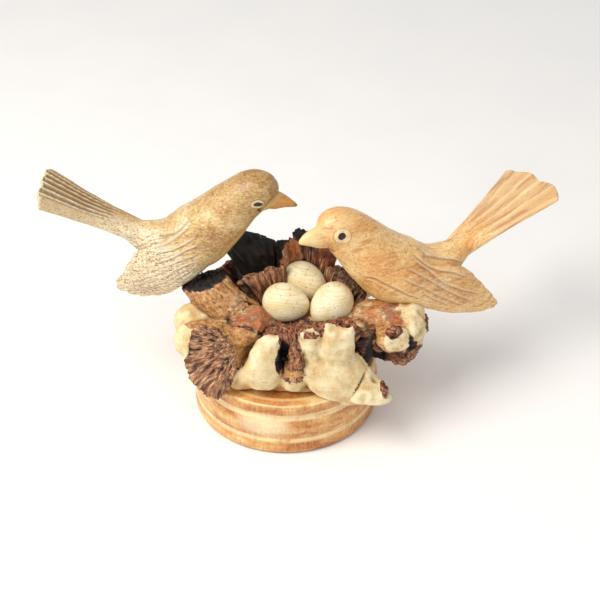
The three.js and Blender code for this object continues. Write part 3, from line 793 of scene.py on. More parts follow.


# Height of the carving in millimetres at each point, and how deep in a groove and how high on a ridge
# it lies, which the wood paints as shade in the grooves and highlight on the ridges. Grooves follow lines of
# equal across; creases follow straight lines seen from the side.
def carveBird(bird, points, normals):
    height = np.zeros(len(points))
    groove, ridge = height.copy(), height.copy()
    for placing in bird["wings"]:
        share, across, mask = onWing(bird["wing"], placing, points, normals)
        sweep = across + bird["sweep"] * np.sin(2.2 * share) + 0.03 * softNoise(points, 9, 3)
        line = (1 - np.abs(np.sin(np.pi * bird["lines"] * sweep / 2))) ** 2.5
        strength = mask * smooth(0.1, 0.35, share) * mix(1, 0.55, smooth(0.9, 1.3, across))
        height -= bird["furrow"] * line * strength
        groove = np.maximum(groove, line * strength * min(1, 2 * bird["furrow"]))
    tail = bird["tail"]
    share, across, mask = onTail(tail, points, normals)
    wave = np.pi * tail["flutes"] * (across + 1) / 2 + 0.25 * softNoise(points, 14, 8)
    flute = np.abs(np.sin(wave)) ** tail["sharp"]
    mask = mask * smooth(-0.05, 0.1, across - tail["plain"])
    height -= tail["depth"] * flute * mask * share ** 0.8
    groove = np.maximum(groove, mask * smooth(0.45, 0.95, flute) * tail["shade"])
    ridge = mask * smooth(0.45, 0.1, flute) * tail["shade"]
    onSide = smooth(0.25, 0.6, np.abs(normals[:, 1])) * smooth(1.5, 4, np.abs(points[:, 1]))
    flat = points[:, [0, 2]] + 0.2 * np.stack([softNoise(points, 5, 41), softNoise(points, 5, 42)], 1)
    for width, depth, lip, stops in bird["creases"]:
        gap, along = nearLine(flat, np.array(stops, float))
        taper = smooth(-0.02, 0.15, along) * smooth(1.02, 0.8, along)
        near = np.exp(-(gap / width) ** 2) * onSide * taper
        height -= depth * near
        groove = np.maximum(groove, 0.8 * near)
        gap, _ = nearLine(flat, np.array(stops, float) + [0.4 * width, 1.9 * width])
        beside = np.exp(-(gap / width) ** 2) * onSide * taper
        height += 0.5 * lip * beside
        ridge = np.maximum(ridge, lip * beside)
    scraped = softNoise(points * [0.7, 1, 1.4], 1.5, 5) * 0.6 + softNoise(points, 3.1, 6) * 0.4
    low = smooth(4, -8, points[:, 1]) * smooth(8, -22, points[:, 0]) * smooth(4, -8, points[:, 2])
    height += bird["scraped"] * low * scraped
    height += 0.16 * softNoise(points, 9, 1) + 0.08 * softNoise(points, 3.5, 2)
    return height, groove, ridge


# Points in the bird's own axes, with the tail bent back into line with the body, for grain to follow.
def grainFlow(tail, points):
    root = np.array(tail["root"], float)
    away = points - root
    back = np.subtract(tail["end"], root)
    length, forward = np.linalg.norm(back), unit(back)
    along = np.clip(away @ forward / length, 0, 1)
    share = smooth(0.05, 0.35, along)
    lift = np.arctan2(forward[2], -forward[0]) * share
    turn = np.arctan2(forward[1], -forward[0]) * share
    x = away[:, 0] * np.cos(lift) - away[:, 2] * np.sin(lift)
    z = away[:, 0] * np.sin(lift) + away[:, 2] * np.cos(lift)
    y = away[:, 1] * np.cos(turn) + x * np.sin(turn)
    x = x * np.cos(turn) - away[:, 1] * np.sin(turn)
    wider = tailHalf(tail, along) / tail["half"][0]
    return np.stack([x, y * mix(1, 2.2, share) / wider, z], 1) + root


# All parts in one skin, smoothed, most of all at the shoulders, then carved along its normals and placed.
def makeBird(name, bird, material):
    surfaces = [bodySurface(bird["body"]), beakSurface(bird["beak"]), tailSurface(bird["tail"])]
    surfaces += [wingSurface(bird["wing"], placing) for placing in bird["wings"]]
    (forwards, aside, up), radii = bird["eye"]  # a low round boss on each side of the head
    for side in (1, -1):
        surfaces.append(ellipsoid((forwards, side * aside, up), radii, *form["boss"], (0, 2, 1)))
    surfaces.append(ellipsoid(*bird["throat"], *form["throat"]))
    mesh = oneSkin(meshOf(name, surfaces), bird["voxel"])
    relax(mesh, form["settle"])
    points, normals = readSkin(mesh)
    blending = np.zeros(len(points))
    for placing in bird["wings"]:  # the wing's top edge runs into the body near the shoulder
        share, across, _ = onWing(bird["wing"], placing, points, normals)
        onSide = smooth(0, 4, placing["side"] * points[:, 1])
        around = smooth(1.7, 1.35, np.abs(across)) * smooth(0.74, 0.5, share)
        blending = np.maximum(blending, onSide * around * smooth(30, 22, points[:, 0]))
    relax(mesh, form["shoulders"], share=0.6, back=0.3, hold=1 - blending)
    points, normals = readSkin(mesh)
    height, groove, ridge = carveBird(bird, points, normals)
    points = points + normals * height[:, None]
    writePoints(mesh, placedBird(points, bird))
    keepNumbers(mesh, "groove", groove)
    keepNumbers(mesh, "ridge", ridge)
    keepNumbers(mesh, "flow", grainFlow(bird["tail"], points))
    finished(f"{name}_carving", mesh, material, name)


# Varnished wood coloured by clouds and grain along the flow, with specks, painted shade in the grooves
# and a painted eye.
def birdWood(name, bird, tones):
    finish = Finish(f"{name}Wood")
    where = finish.local(bird["at"], bird["roll"], bird["heading"])
    flow = finish.kept("flow", "Vector")
    cloud = flow.noise((26, 12, 12), detail=3, roughness=0.55)
    grain = flow.noise((9, 1.1, 1.1), detail=4, roughness=0.62, twist=0.4)
    speck = flow.noise((1.7, 1.0, 1.0), detail=3, roughness=0.75)
    colour = (cloud * 0.62 + grain * 0.38).ramp(
        (0.3, tones["pale"]), (0.46, tones["honey"]), (0.58, tones["tan"]), (0.74, tones["rust"]),
    )
    colour = finish.layered(
        colour,
        (speck.between(0.53, 0.66) * tones["speckle"], tones["dark"]),
        (speck.between(0.47, 0.34) * 0.6 * tones["speckle"], "#f6e6bd"),
        # painted shade in the carved grooves and creases
        (finish.kept("groove") * tones["lines"], tones["furrow"]),
        *tones["extra"](finish, where, flow),
        *eyeLayers(where, tones["eye"]),
    )
    rough = where.noise(scale=0.15) * 0.2 + 0.26
    return finish.close(colour, rough, grain * 0.5 + speck * 0.5, 0.14, Coat_Weight=0.2, Coat_Roughness=0.22)


# A dark pupil in a pale ring with a thin dark edge: each is set by how far a point lies from its middle,
# counted in its own half-widths. ring and pupil rows: forwards, up and both half-widths.
def eyeLayers(where, eye):
    forwards, aside, up = where.axes()
    onHead = abs(aside).between(5.5, 7)

    def count(row, power):
        return (abs(forwards - row[0]) / row[2]) ** 2 + (abs(up - row[1]) / row[3]) ** power

    ring, dark = count(eye["ring"], 2), count(eye["pupil"], eye["power"])
    edge = ring.between(0.85, 1.0) * ring.between(1.25, 1.05)
    return [
        (ring.between(1.15, 0.85) * onHead * eye["strength"], "#ecdcae"),
        (edge * onHead * eye["strength"], "#5d4326"),
        (dark.between(1.12, 0.92) * onHead, "#0c0806"),
    ]


def leftLayers(finish, where, flow):  # pale flecked wing, silvery tail, brown head and horn beak
    forwards, aside, up = where.axes()
    fleck = where.noise((1.6, 0.8, 0.8), detail=3, roughness=0.7)
    mottle = where.noise((5, 3.5, 3.5), detail=3)
    wing = (forwards * 0.6 + up).between(0, -11) * aside.between(2, -6)
    tail = forwards.between(-36, -58)
    crown = (forwards * 0.5 + up).between(44, 52) * mottle.between(0.42, 0.62)
    band = abs(forwards * 0.5 + up - 36 + mottle * 8).between(3.2, 0.8)
    head = (forwards + up * 0.4).between(30, 46)
    bill = forwards - up * 0.77 + abs(aside) * 0.45
    beak = bill.between(22.6, 23.2) * up.between(33, 31)
    horn = beak * bill.between(24.3, 27)
    return [
        (wing * 0.75 * fleck.between(0.6, 0.42), "#ebe3cb"),
        (wing * fleck.between(0.57, 0.68) * 0.8, "#5b4329"),
        (tail * 0.55, "#b09468"),
        # more painted shade in the tail's flutes
        (tail * finish.kept("groove") * 0.6, "#553a1c"),
        (tail * forwards.between(-76, -81) * 0.6, "#dcdcb4"),
        # painted highlight on the ridges of the tail and the lips of the creases
        (finish.kept("ridge") * 0.85, "#f4ead0"),
        (crown * 0.6, "#94582c"),
        (band * 0.25, "#a8744a"),
        (head * 0.55, "#97702f"),
        (head * fleck.between(0.51, 0.64) * 0.6, "#6a4a20"),
        (head * fleck.between(0.44, 0.36) * 0.35, "#ecd399"),
        (beak * 0.7, "#e2bd78"),
        (horn * 0.75, "#c5833a"),
        (horn * fleck.between(0.5, 0.64) * 0.5, "#8c5622"),
        (forwards.between(53, 56) * 0.75, "#5f3c1a"),
    ]


def rightLayers(finish, where, flow):  # rust streaks, a mottled shoulder, pale tail, head and beak
    forwards, _, up = where.axes()
    streak = flow.noise((24, 2.6, 2.6), detail=3, twist=0.6)
    mottle = flow.noise((9, 3, 3), detail=4, roughness=0.7)
    zone = abs(forwards + 16).between(24, 8) * abs(up - forwards * 0.7 - 4).between(13, 4)
    tail = forwards.between(-46, -66)
    return [
        (streak.between(0.54, 0.68) * 0.6, "#b8703a"),
        (zone * mottle.between(0.45, 0.62) * 0.65, "#a55a2c"),
        (tail * 0.6, "#dcb888"),
        (tail * streak.between(0.5, 0.62) * 0.6, "#b87e56"),
        # painted highlight on the ridges of the tail and the lips of the creases
        (finish.kept("ridge") * 0.9, "#fbe9be"),
        ((forwards + up * 0.4).between(36, 50) * 0.4, "#cf9c5e"),
        (forwards.between(44, 52) * 0.75, "#ecd59a"),
    ]


# furrow and lines: the colour and strength of the painted shade in the carved grooves
woods = {
    "left_bird": {
        "pale": "#eddbaf", "honey": "#cfad74", "tan": "#b18850", "rust": "#925f38", "dark": "#5f4222",
        "furrow": "#5f4222", "speckle": 0.7, "lines": 0.6, "extra": leftLayers,
        "eye": {"ring": (35.2, 29, 3.5, 2.6), "pupil": (35.5, 29, 2.5, 1.35), "power": 1.3, "strength": 0.6},
    },
    "right_bird": {
        "pale": "#fbe6b6", "honey": "#f0c583", "tan": "#e3a85f", "rust": "#ca7f3f", "dark": "#86552a",
        "furrow": "#94501f", "speckle": 0.6, "lines": 0.8, "extra": rightLayers,
        "eye": {"ring": (37.4, 35.6, 4.3, 4.2), "pupil": (38, 36, 2.1, 2), "power": 2, "strength": 0.42},
    },
}
for name, bird in birds.items():
    makeBird(name, bird, birdWood(name, bird, woods[name]))


# Nest of parasite wood.

# How a wall of the nest looks: how fibrous, how black (dark wood and painted shade), how stained and how
# spongy it is
looks = {
    "skin": (0, 0, 0, 0), "fibre": (1, 0, 0, 0), "rust": (1, 0, 0.24, 0), "dark": (1, 0.55, 0, 0),
    "burnt": (1, 1, 0, 0), "orange": (0.25, 0, 0.6, 0.15), "purple": (0.3, 0.05, 0.88, 0.2),
    "spongy": (0.1, 0, 0.1, 1), "tan": (0.42, 0, 0.12, 0.7), "rough": (0.1, 0, 0.05, 0.36),
    "ruddy": (0.4, 0, 0.34, 0.5),
}

# Each lobe grows from its root to the middle of its end face, which bulges by dome. wall holds the looks of
# the side away from the eggs, the side towards them and the end, or one look for all three; jag is how
# ragged its rim is. What a lobe doesn't say it takes from the plain one, and its ribs fan out from a point
# behind its root.
plainLobe = {
    "bend": (0, 0, 0), "side": (1, 0, 0), "narrow": 0.9, "flare": 1, "lumps": 0.1, "jag": 0, "rugged": 0.25,
    "rib": 1.9, "ribLength": 20, "fanBehind": 0.35, "hem": 0, "light": 0, "thin": 0, "seam": 0,
}


def lobeOf(root, tip, half, face, dome, wall, **more):  # a lobe's own values over the plain one's
    fan = np.subtract(root, plainLobe["fanBehind"] * np.subtract(tip, root))
    own = {"root": root, "tip": tip, "half": half, "face": face, "dome": dome, "fan": fan}
    return {**plainLobe, **own, "wall": (wall.split() * 3)[:3], **more}


lobes = {
    "frontFan": lobeOf((14, -10, 42), (26.5, -36, 43), (14.5, 12.5), (0.15, -0.8, 0.5), 8.5,
        "skin rust skin", bend=(0, -8, 2), side=(1, 0.1, -0.1), narrow=0.75, lumps=0.08, rugged=0.3),
    "frontFanCrest": lobeOf((25, -28, 38), (28, -33, 70), (7, 4.8), (0.1, 0.1, 1), 0.5, "skin rust skin",
        bend=(0, -4, 0), side=(1, 0.05, 0), narrow=1.8, flare=0.8, lumps=0.12, jag=6, rugged=0.5),
    "frontFoot": lobeOf((8, -14, 38), (5, -33, 33), (24, 4), (0, -0.95, 0.3), 4, "skin", bend=(0, -6, 0),
        lumps=0.06),
    "frontFinger": lobeOf((14.5, -31, 38), (12.5, -33, 68.5), (5.2, 4.2), (-0.1, 0.2, 1), 0.5,
        "skin rust skin", bend=(0, -4, 0), narrow=0.8, lumps=0.15, jag=4.5, rugged=0.5),
    "frontCone": lobeOf((3.4, -30, 30), (6.6, -34, 62), (2.2, 2.6), (0, 0.2, 1), 1, "rust rust dark",
        bend=(0, -6, 0), narrow=3.8, flare=1.2, jag=1, rib=1.3, hem=43, light=0.5),
    "frontLeftFan": lobeOf((-14, -29, 31), (-9.8, -33, 62.5), (6.5, 5), (-0.35, 0.1, 1), 3,
        "skin rust skin", bend=(0, -6, 0), narrow=1.9, flare=1.3, lumps=0.12, jag=0.8, rugged=0.5),
    "lowLeftKnob": lobeOf((-8, -16, 38), (-25, -35, 39), (7, 8), (-0.4, -0.9, 0), 4, "skin",
        side=(0.8, -0.5, 0)),
    "leftBell": lobeOf((-14, -4, 50), (-40, -33, 50), (12.5, 18), (-0.3, -0.85, 0.42), -1,
        "skin spongy fibre", bend=(-6, 0, 4), side=(0.62, -0.04, 0.8), narrow=0.5, flare=1.3, lumps=0.08,
        jag=1.2, rib=1.8, ribLength=12, fan=(-17, -27, 59), light=0.8),
    "leftBellSkin": lobeOf((-20, -6, 50), (-53, -22, 53.5), (9, 10), (-0.7, -0.6, 0.1), 5,
        "skin spongy skin", bend=(-4, 0, 2), side=(0.7, -0.7, 0.1), narrow=0.8, lumps=0.08),
    "leftKnob": lobeOf((-14, -2, 48), (-54, -8, 57), (10, 7.5), (-1, -0.2, 0.3), 6, "skin",
        bend=(-6, 0, 6), side=(0.2, 1, 0), narrow=0.7),
    # its end face is painted near-black: the shade that the left bird casts on it
    "leftBlock": lobeOf((-8, -4, 48), (-44, 4, 75), (11.5, 13), (-0.35, 0.3, 0.9), 0.5, "tan tan burnt",
        bend=(-6, -8, 0), side=(1, 0.3, 0.2), narrow=0.8, lumps=0.06, jag=2, rugged=0.6, rib=1.6,
        light=0.8),
    "leftSaddle": lobeOf((0, -8, 46), (-22, -14, 61), (11, 9), (-0.6, -0.5, 0.8), 4, "rust",
        bend=(-4, -3, 4), side=(0.6, 0.6, 0.2), lumps=0.15, jag=1, fan=(-60, -12, 55)),
    "roughPatch": lobeOf((-6, -10, 46), (-27, -22, 58), (8, 7), (-0.5, -0.7, 0.7), 3, "spongy",
        bend=(0, 0, 4), side=(0.7, -0.5, 0.2), lumps=0.15, rugged=0.7, light=0.8),
    # the back fans are painted near-black and dark: dark wood together with painted shade
    "backLeftFan": lobeOf((-4, 10, 44), (-18, 27, 82.5), (14, 8), (0.35, 0.1, 1), 5, "burnt",
        bend=(-3, 6, 0), side=(1, 0.1, -0.35), narrow=0.55, flare=1.1, lumps=0.12, jag=2, rib=3.4),
    "innerLeftFan": lobeOf((-2, 4, 46), (-13, 7, 77), (14, 4.5), (-0.2, -0.3, 1), 1, "burnt fibre fibre",
        bend=(-2, 4, -2), side=(1, 0.2, 0.45), narrow=0.45, flare=1.1, lumps=0.08, jag=1.6, rib=2.2,
        ribLength=30, light=0.4, thin=0.5),
    "backFinger": lobeOf((2, 16, 50), (-1.5, 26, 82.5), (4, 4.5), (-0.3, 0, 1), 2.5, "burnt",
        bend=(0, 2, 0), narrow=1, jag=0.6),
    "backRightFan": lobeOf((12, 12, 46), (15, 25, 83), (14, 6), (0.15, -0.2, 1), 1.5, "dark fibre dark",
        bend=(0, 7, 0), side=(1, -0.1, -0.35), narrow=0.6, flare=1.1, jag=2.2, rib=2.0, ribLength=30,
        thin=0.4),
    "backRightCrest": lobeOf((9, 18, 60), (9, 28, 88), (5.5, 4), (0, 0, 1), 1, "burnt", narrow=1,
        lumps=0.2, jag=3.5),
    "rightWall": lobeOf((22, 6, 46), (33, 11, 70), (14, 5.5), (0.3, 0, 1), 1.5, "dark fibre dark",
        bend=(5, 2, -2), side=(0.8, -0.75, -0.45), narrow=0.6, lumps=0.12, jag=1.4, rib=1.5, ribLength=30,
        light=0.9, thin=0.35),
    "rightArm": lobeOf((18, -4, 50), (70, -13, 57), (11, 11), (1, -0.2, 0.1), 5, "tan spongy rough",
        bend=(0, 3, 4), side=(0.2, 1, 0), narrow=0.95, lumps=0.22, jag=1.8, rugged=1.1, light=0.4),
    "rightArmKnob": lobeOf((44, -10, 48), (67, -17, 46), (8, 8), (1, -0.4, -0.3), 4, "rust orange rust",
        bend=(0, 0, -2), side=(0.2, 1, 0), lumps=0.15, jag=1, rugged=1.0, light=0.5),
    "rightStub": lobeOf((44, -10, 50), (60, -27, 59), (6.3, 6.3), (0.35, -0.9, 0.3), 0.5,
        "tan spongy rough", bend=(0, -2, 0), side=(0.85, 0.3, 0.3), narrow=1.1, lumps=0.06, jag=0.8,
        rugged=0.9),
    # painted shade: the recess under the right arm, near-black
    "rightWeb": lobeOf((20, -8, 42), (45, -21, 49), (12, 7), (0.9, -0.5, -0.2), 1, "dark dark burnt",
        side=(0.2, 0.3, 1), narrow=1, lumps=0.12, jag=1, rib=2.2),
    "lowRightProng": lobeOf((27, -26, 33), (52.5, -43, 32.5), (4.3, 4.6), (0.85, -0.35, 0), 3, "skin",
        side=(0.5, 0.4, 0.8), narrow=2.5, flare=3, lumps=0.25, jag=2, rugged=0.9, seam=1),
    "frontRim": lobeOf((-18, -16, 54), (40, -14, 57), (7, 6), (1, 0.3, 0), 2, "rust", bend=(0, -15, 3),
        side=(0, 1, 0.1), lumps=0.15, jag=0.8, rugged=0.5, fan=(8, -45, 38), light=0.2),
    "backFanLeft": lobeOf((-6, 14, 40), (-32, 34, 57), (15, 11), (-0.6, 0.7, 0.3), 3, "skin dark fibre",
        bend=(-2, 6, 2), side=(0.7, 0.7, 0.3), narrow=0.5, flare=1.3, lumps=0.14, jag=1.8),
    "backFanMiddle": lobeOf((8, 14, 38), (2, 44, 52), (16, 12), (0, 0.95, 0.3), 4, "skin dark fibre",
        bend=(0, 8, 2), side=(1, 0, 0.1), narrow=0.5, flare=1.3, lumps=0.14, jag=1.8),
    "backFanRight": lobeOf((18, 8, 40), (38, 34, 53), (15, 11), (0.6, 0.7, 0.3), 3, "skin dark fibre",
        bend=(2, 6, 2), side=(0.7, -0.7, 0.3), narrow=0.5, flare=1.3, lumps=0.14, jag=1.8),
}
nest = {
    "voxel": 0.8, "soften": 36, "fillet": 40, "faceShare": 1 / 3, "firstRing": 1 / 6, "facet": 3,
    "heart": ((9, 0, 44), (38, 32, 18)), "hollow": ((14, -4, 78), (25, 16, 19)), "square": 0.85,
    "cleft": ((-1.2, -40, 55), (3.6, 11, 9.5)), "eggs": (12, 2, 84), "rings": 80, "steps": 13,
    "lean": 0.35, "longCount": 0.45, "room": (1.5, 5, -1), "roomSides": 128, "buriedAbove": 40,
    "ribbed": (1.25, 0.4), "sponge": 0.55, "swell": 0.3, "grit": 0.12, "folds": 0.6, "knobs": 0.8,
    "crease": (0.8, 1.8), "hollowDepth": 0.9,
}

# Places with a look of their own: middle, half-widths and look. Three of the near-black ones are painted
# shade:
# in the front cleft, in the gap beside the right stub and in the recess under the right arm.
stainsAndShadows = [
    ((58, -15, 68.3), (10, 9, 7), "orange"), ((-17, -13, 62), (13, 10, 8), "orange"),
    ((-28, -4, 66), (4, 8, 10), "purple"), ((-14, -16, 58), (5, 5, 5), "purple"),
    # the near-black patch at the end of the next line is painted shadow in the gap beside the right stub
    ((57.5, -27, 64.2), (6, 5, 3), "fibre"), ((67, -21, 56), (3, 6, 8), "burnt"),
    ((4, 20, 78), (6, 8, 12), "orange"), ((27, 22, 80), (8, 8, 10), "purple"),
    # the near-black patch at the end of the next line is painted shade in the front cleft
    ((70, -14, 64), (8, 12, 12), "rough"), ((-1.2, -36, 53), (3.6, 11, 10), "burnt"),
    ((76, -14, 58), (3, 9, 7), "dark"), ((70, -18, 45), (9, 8, 5), "rust"),
    # the near-black patch at the start of the next line is painted shade in the recess below the right arm
    ((48, -16, 46), (12, 9, 9), "burnt"), ((40, -12, 63), (11, 9, 8), "ruddy"),
    ((-27, -8, 68), (9, 8, 9), "ruddy"), ((52, -42, 37.5), (2, 5, 6), "fibre"),
    ((56.5, -45, 34), (1.2, 6, 5), "burnt"), ((4, -36, 45), (7, 8, 5), "spongy"),
]


# The middle, direction, side and across of a lobe at each share: a curve with one bend, whose side
# vector is kept square to it.
def lobeFrame(lobe, share):
    root, tip = np.array(lobe["root"], float), np.array(lobe["tip"], float)
    bend = (root + tip) / 2 + lobe["bend"]
    t = share[:, None]
    centre = (1 - t) ** 2 * root + 2 * t * (1 - t) * bend + t ** 2 * tip
    forward = unit((1 - t) * (bend - root) + t * (tip - bend))
    side = np.array(lobe["side"], float)
    side = unit(side - forward * (forward @ side)[:, None])
    return centre, forward, side, np.cross(forward, side)


# A squared-off oval carried along the lobe's curve. The rings lean until they lie in the plane of the
# end face, and the rim is drawn out in teeth that follow the ribs.
def lobeSurface(lobe, order, sides, rings):
    face = unit(np.array(lobe["face"], float))

    def place(turn, along):
        share, reach = opened(along, nest["firstRing"], nest["faceShare"])
        centre, forward, side, across = lobeFrame(lobe, share)
        angle = 2 * np.pi * turn
        growth = mix(lobe["narrow"], 1, share ** lobe["flare"])
        knot = np.sin(2 * angle + order) * 0.6 + np.sin(3 * angle + 2 * order) * 0.4
        size = growth * reach * (1 + lobe["lumps"] * knot * share)
        x = lobe["half"][0] * size * signedPower(np.cos(angle), nest["square"])
        thinned = 1 - lobe["thin"] * share ** 2
        y = lobe["half"][1] * size * thinned * signedPower(np.sin(angle), nest["square"])
        placed = x[:, None] * side + y[:, None] * across
        lean = -(placed @ face) / np.maximum(nest["lean"], forward @ face)
        placed = placed + (lean * share ** 3)[:, None] * forward
        girth = np.stack([np.cos(angle), np.sin(angle), angle * 0], 1) * sum(lobe["half"]) / 2
        teeth = softNoise(girth, 1.8, order + 1) * 0.6 + softNoise(girth, 1.1, order + 9) * 0.4
        jag = lobe["jag"] * teeth * smooth(0.6, 1, share) * reach ** 2
        domed = np.where(share < 1, 0, lobe["dome"] * (1 - reach ** 2))
        return placed + centre + domed[:, None] * face + jag[:, None] * forward

    return closedSurface(sides, rings, place)


# The space over and around the base that the nest keeps out of, as a profile carried round. room is how far
# its corners lie beyond the base's side and the edge of the seat.
def baseRoom():
    outer, lip, corner = np.add((base["radius"], base["seat"], base["seat"]), nest["room"])
    top = base["height"] + clearance
    floor = top - base["seatDepth"]
    profile = [(0, -5), (outer, -5), (outer, top), (lip, top), (corner, floor), (0, floor)]
    return carriedRound(profile, nest["roomSides"])


def grownBird(bird):  # the body and wings of a bird with the clearance round them, each closed
    surfaces = [bodySurface(bird["body"], clearance)]
    surfaces += [wingSurface(bird["wing"], placing, clearance, 0.0, False) for placing in bird["wings"]]
    return [(placedBird(points, bird), *faces) for points, *faces in surfaces]


# Whose wall each point lies on. Lobe by lobe, the offset from every step of its curve is counted in the
# half-widths of its section, and the lobe with the smallest count has the point. Gives the lobe's number,
# the share along it, that count and the next lobe's count.
def nearestLobe(points):
    steps = np.linspace(0, 1, nest["steps"])
    best = np.full(len(points), np.inf)
    second = best.copy()
    owner = np.zeros(len(points), int)
    share = np.zeros(len(points))
    for order, lobe in enumerate(lobes.values()):
        centre, forward, side, across = lobeFrame(lobe, steps)
        growth = mix(lobe["narrow"], 1, steps ** lobe["flare"])
        gap = points[:, None] - centre
        x = np.einsum("nsk,sk->ns", gap, side) / (lobe["half"][0] * growth)
        y = np.einsum("nsk,sk->ns", gap, across) / (lobe["half"][1] * growth)
        z = np.einsum("nsk,sk->ns", gap, forward) / (nest["longCount"] * sum(lobe["half"]))
        count = np.sqrt(x * x + y * y + z * z)
        nearest = count.argmin(1)
        count = count[np.arange(len(points)), nearest]
        closer = count < best
        second = np.where(closer, best, np.minimum(second, count))
        best = np.where(closer, count, best)
        owner = np.where(closer, order, owner)
        share = np.where(closer, steps[nearest], share)
    return owner, share, best, second


# The heart and the lobes in one skin, less the cutters. Each point then takes its look from its lobe's walls
# and the stains and painted shadows, and goes along its normal by the ribs, folds and creases that its
# look calls for.
def makeNest():
    surfaces = [ellipsoid(*nest["heart"])]
    for order, lobe in enumerate(lobes.values()):
        sides = 4 * round(math.pi * sum(lobe["half"]) / nest["facet"])
        surfaces.append(lobeSurface(lobe, order, sides, nest["rings"]))
    mesh = oneSkin(meshOf("nest", surfaces), nest["voxel"])
    cutters = [ellipsoid(*nest["hollow"]), ellipsoid(*nest["cleft"]), baseRoom()]
    cutters += [eggSurface(egg, clearance) for egg in eggs["laid"].values()]
    cutters += [surface for bird in birds.values() for surface in grownBird(bird)]
    for cutter in cutters:
        mesh = cutAway(mesh, cutter)
    print(f"nest cut: {len(mesh.vertices)} points")
    mesh = oneSkin(mesh, nest["voxel"])
    relax(mesh, 3)
    points, normals = readSkin(mesh)
    owner, share, count, nextCount = nearestLobe(points)
    print(f"nest skin: {len(points)} points")

    def pick(key):  # that value of the lobe that each point lies on
        return np.array([lobe[key] for lobe in lobes.values()], float)[owner]

    def facing(way, vectors=normals):
        return np.einsum("ij,ij->i", vectors, way)

    tip, fan, face, jag, seam = pick("tip"), pick("fan"), unit(pick("face")), pick("jag"), pick("seam")
    wander = softNoise(points, 6, 11) * 0.6 + softNoise(points, 2.5, 12) * 0.4

    # The end face is where a point lies within reach of the tip's plane and looks the face's way
    beyond = facing(face, points - tip) - np.minimum(pick("dome"), 1.5)
    ending = smooth(0.25, 0.6, facing(face) + 0.2 * wander) * smooth(-5, -2, beyond)
    toEggs = unit(np.array(nest["eggs"]) - points)
    inward = smooth(-0.05, 0.25, facing(toEggs) + 0.25 * wander) * (1 - ending)
    walls = np.array([[looks[side] for side in lobe["wall"]] for lobe in lobes.values()], float)[owner]
    look = mix(mix(walls[:, 0], walls[:, 1], inward[:, None]), walls[:, 2], ending[:, None])
    look *= smooth(-2, 1, points[:, 2] - pick("hem") + 1.5 * wander)[:, None]

    def dressed(name, share):  # towards the look of that name
        return mix(look, np.array(looks[name], float), share[:, None])

    # the heart left showing between the lobes is painted dark, as shade between them
    look = dressed("dark", smooth(1.2, 1.5, count) * (points[:, 2] > nest["buriedAbove"]))
    for middle, size, name in stainsAndShadows:
        near = np.linalg.norm((points - middle) / size, axis=1) + 0.6 * wander
        look = dressed(name, smooth(1.15, 0.8, near))
    look = dressed("rust", smooth(0.95, 1.0, share) * (jag > 4) * smooth(0.15, 0.6, wander))
    teeth = smooth(0.8, 0.95, share) * (jag > 2)
    relax(mesh, nest["soften"], hold=np.maximum(smooth(0.1, 0.5, look.max(1)), teeth))
    # Where two smooth lobes meet, the skin runs from one to the other in a hollow curve
    joint = smooth(0.55, 0.15, nextCount - count) * smooth(1.7, 1.3, nextCount)
    joint *= smooth(0.4, 0.1, look.max(1)) * (1 - teeth) * (1 - seam)
    relax(mesh, nest["fillet"], back=0.0, hold=1 - joint)
    points, normals = readSkin(mesh)

    # Ribs fan out from a point behind each lobe: their noise is read by direction, and slowly by distance
    away, reach = points - fan, np.linalg.norm(tip - fan, axis=1)
    distance = np.linalg.norm(away, axis=1)
    drift = unit(tip - fan) * (distance / pick("ribLength") + 7 * owner)[:, None]
    ribs = unit(away) * (reach / pick("rib"))[:, None] + drift

    def crests(where, size, seed):  # sharp crests with round hollows between them
        return 1 - 2 * np.abs(softNoise(where, size, seed))

    coarse, fine = crests(ribs, 1.0, 21), crests(ribs, 0.45, 22)
    folds, knobs = crests(points * [1, 1, 0.4], 4.5, 35), crests(points, 6, 36)
    spongy = softNoise(points, 1.7, 31) * 0.6 + softNoise(points, 3.2, 32) * 0.4
    crease = smooth(0.3, 0.0, nextCount - count) * smooth(1.35, 1.1, nextCount)
    crease *= np.maximum(seam, smooth(0.1, 0.5, look.max(1)))
    height = look[:, 0] * (nest["ribbed"][0] * coarse + nest["ribbed"][1] * fine)
    height += look[:, 3] * nest["sponge"] * spongy
    height += nest["swell"] * softNoise(points, 7, 33) + nest["grit"] * softNoise(points, 2.6, 34)
    height += pick("rugged") * (nest["folds"] * folds + nest["knobs"] * knobs) * (1 - 0.6 * look[:, 0])
    height -= crease * mix(*nest["crease"], seam)
    height *= smooth(0.0, 1.2, points[:, 2] - (base["height"] - 0.6))
    writePoints(mesh, points + normals * height[:, None])
    # the wood paints shade where this is high, in the hollows, and a highlight where it is low, on the
    # bulges
    keepNumbers(mesh, "hollow", np.clip(hollows(mesh, 40) / nest["hollowDepth"], -1, 1))
    keepNumbers(mesh, "ribs", ribs)
    for column, name in enumerate(("fibrous", "charred", "stained", "spongy")):
        keepNumbers(mesh, name, look[:, column])
    keepNumbers(mesh, "light", pick("light"))
    # depth: the troughs between the coarse ribs and the creases between lobes, painted near-black as shade
    keepNumbers(mesh, "depth", np.clip(0.5 - 0.5 * coarse, 0, 1) * look[:, 0] + crease * mix(0.45, 1, seam))
    finished("parasite_wood", mesh, nestWood(), "parasite_wood_nest")


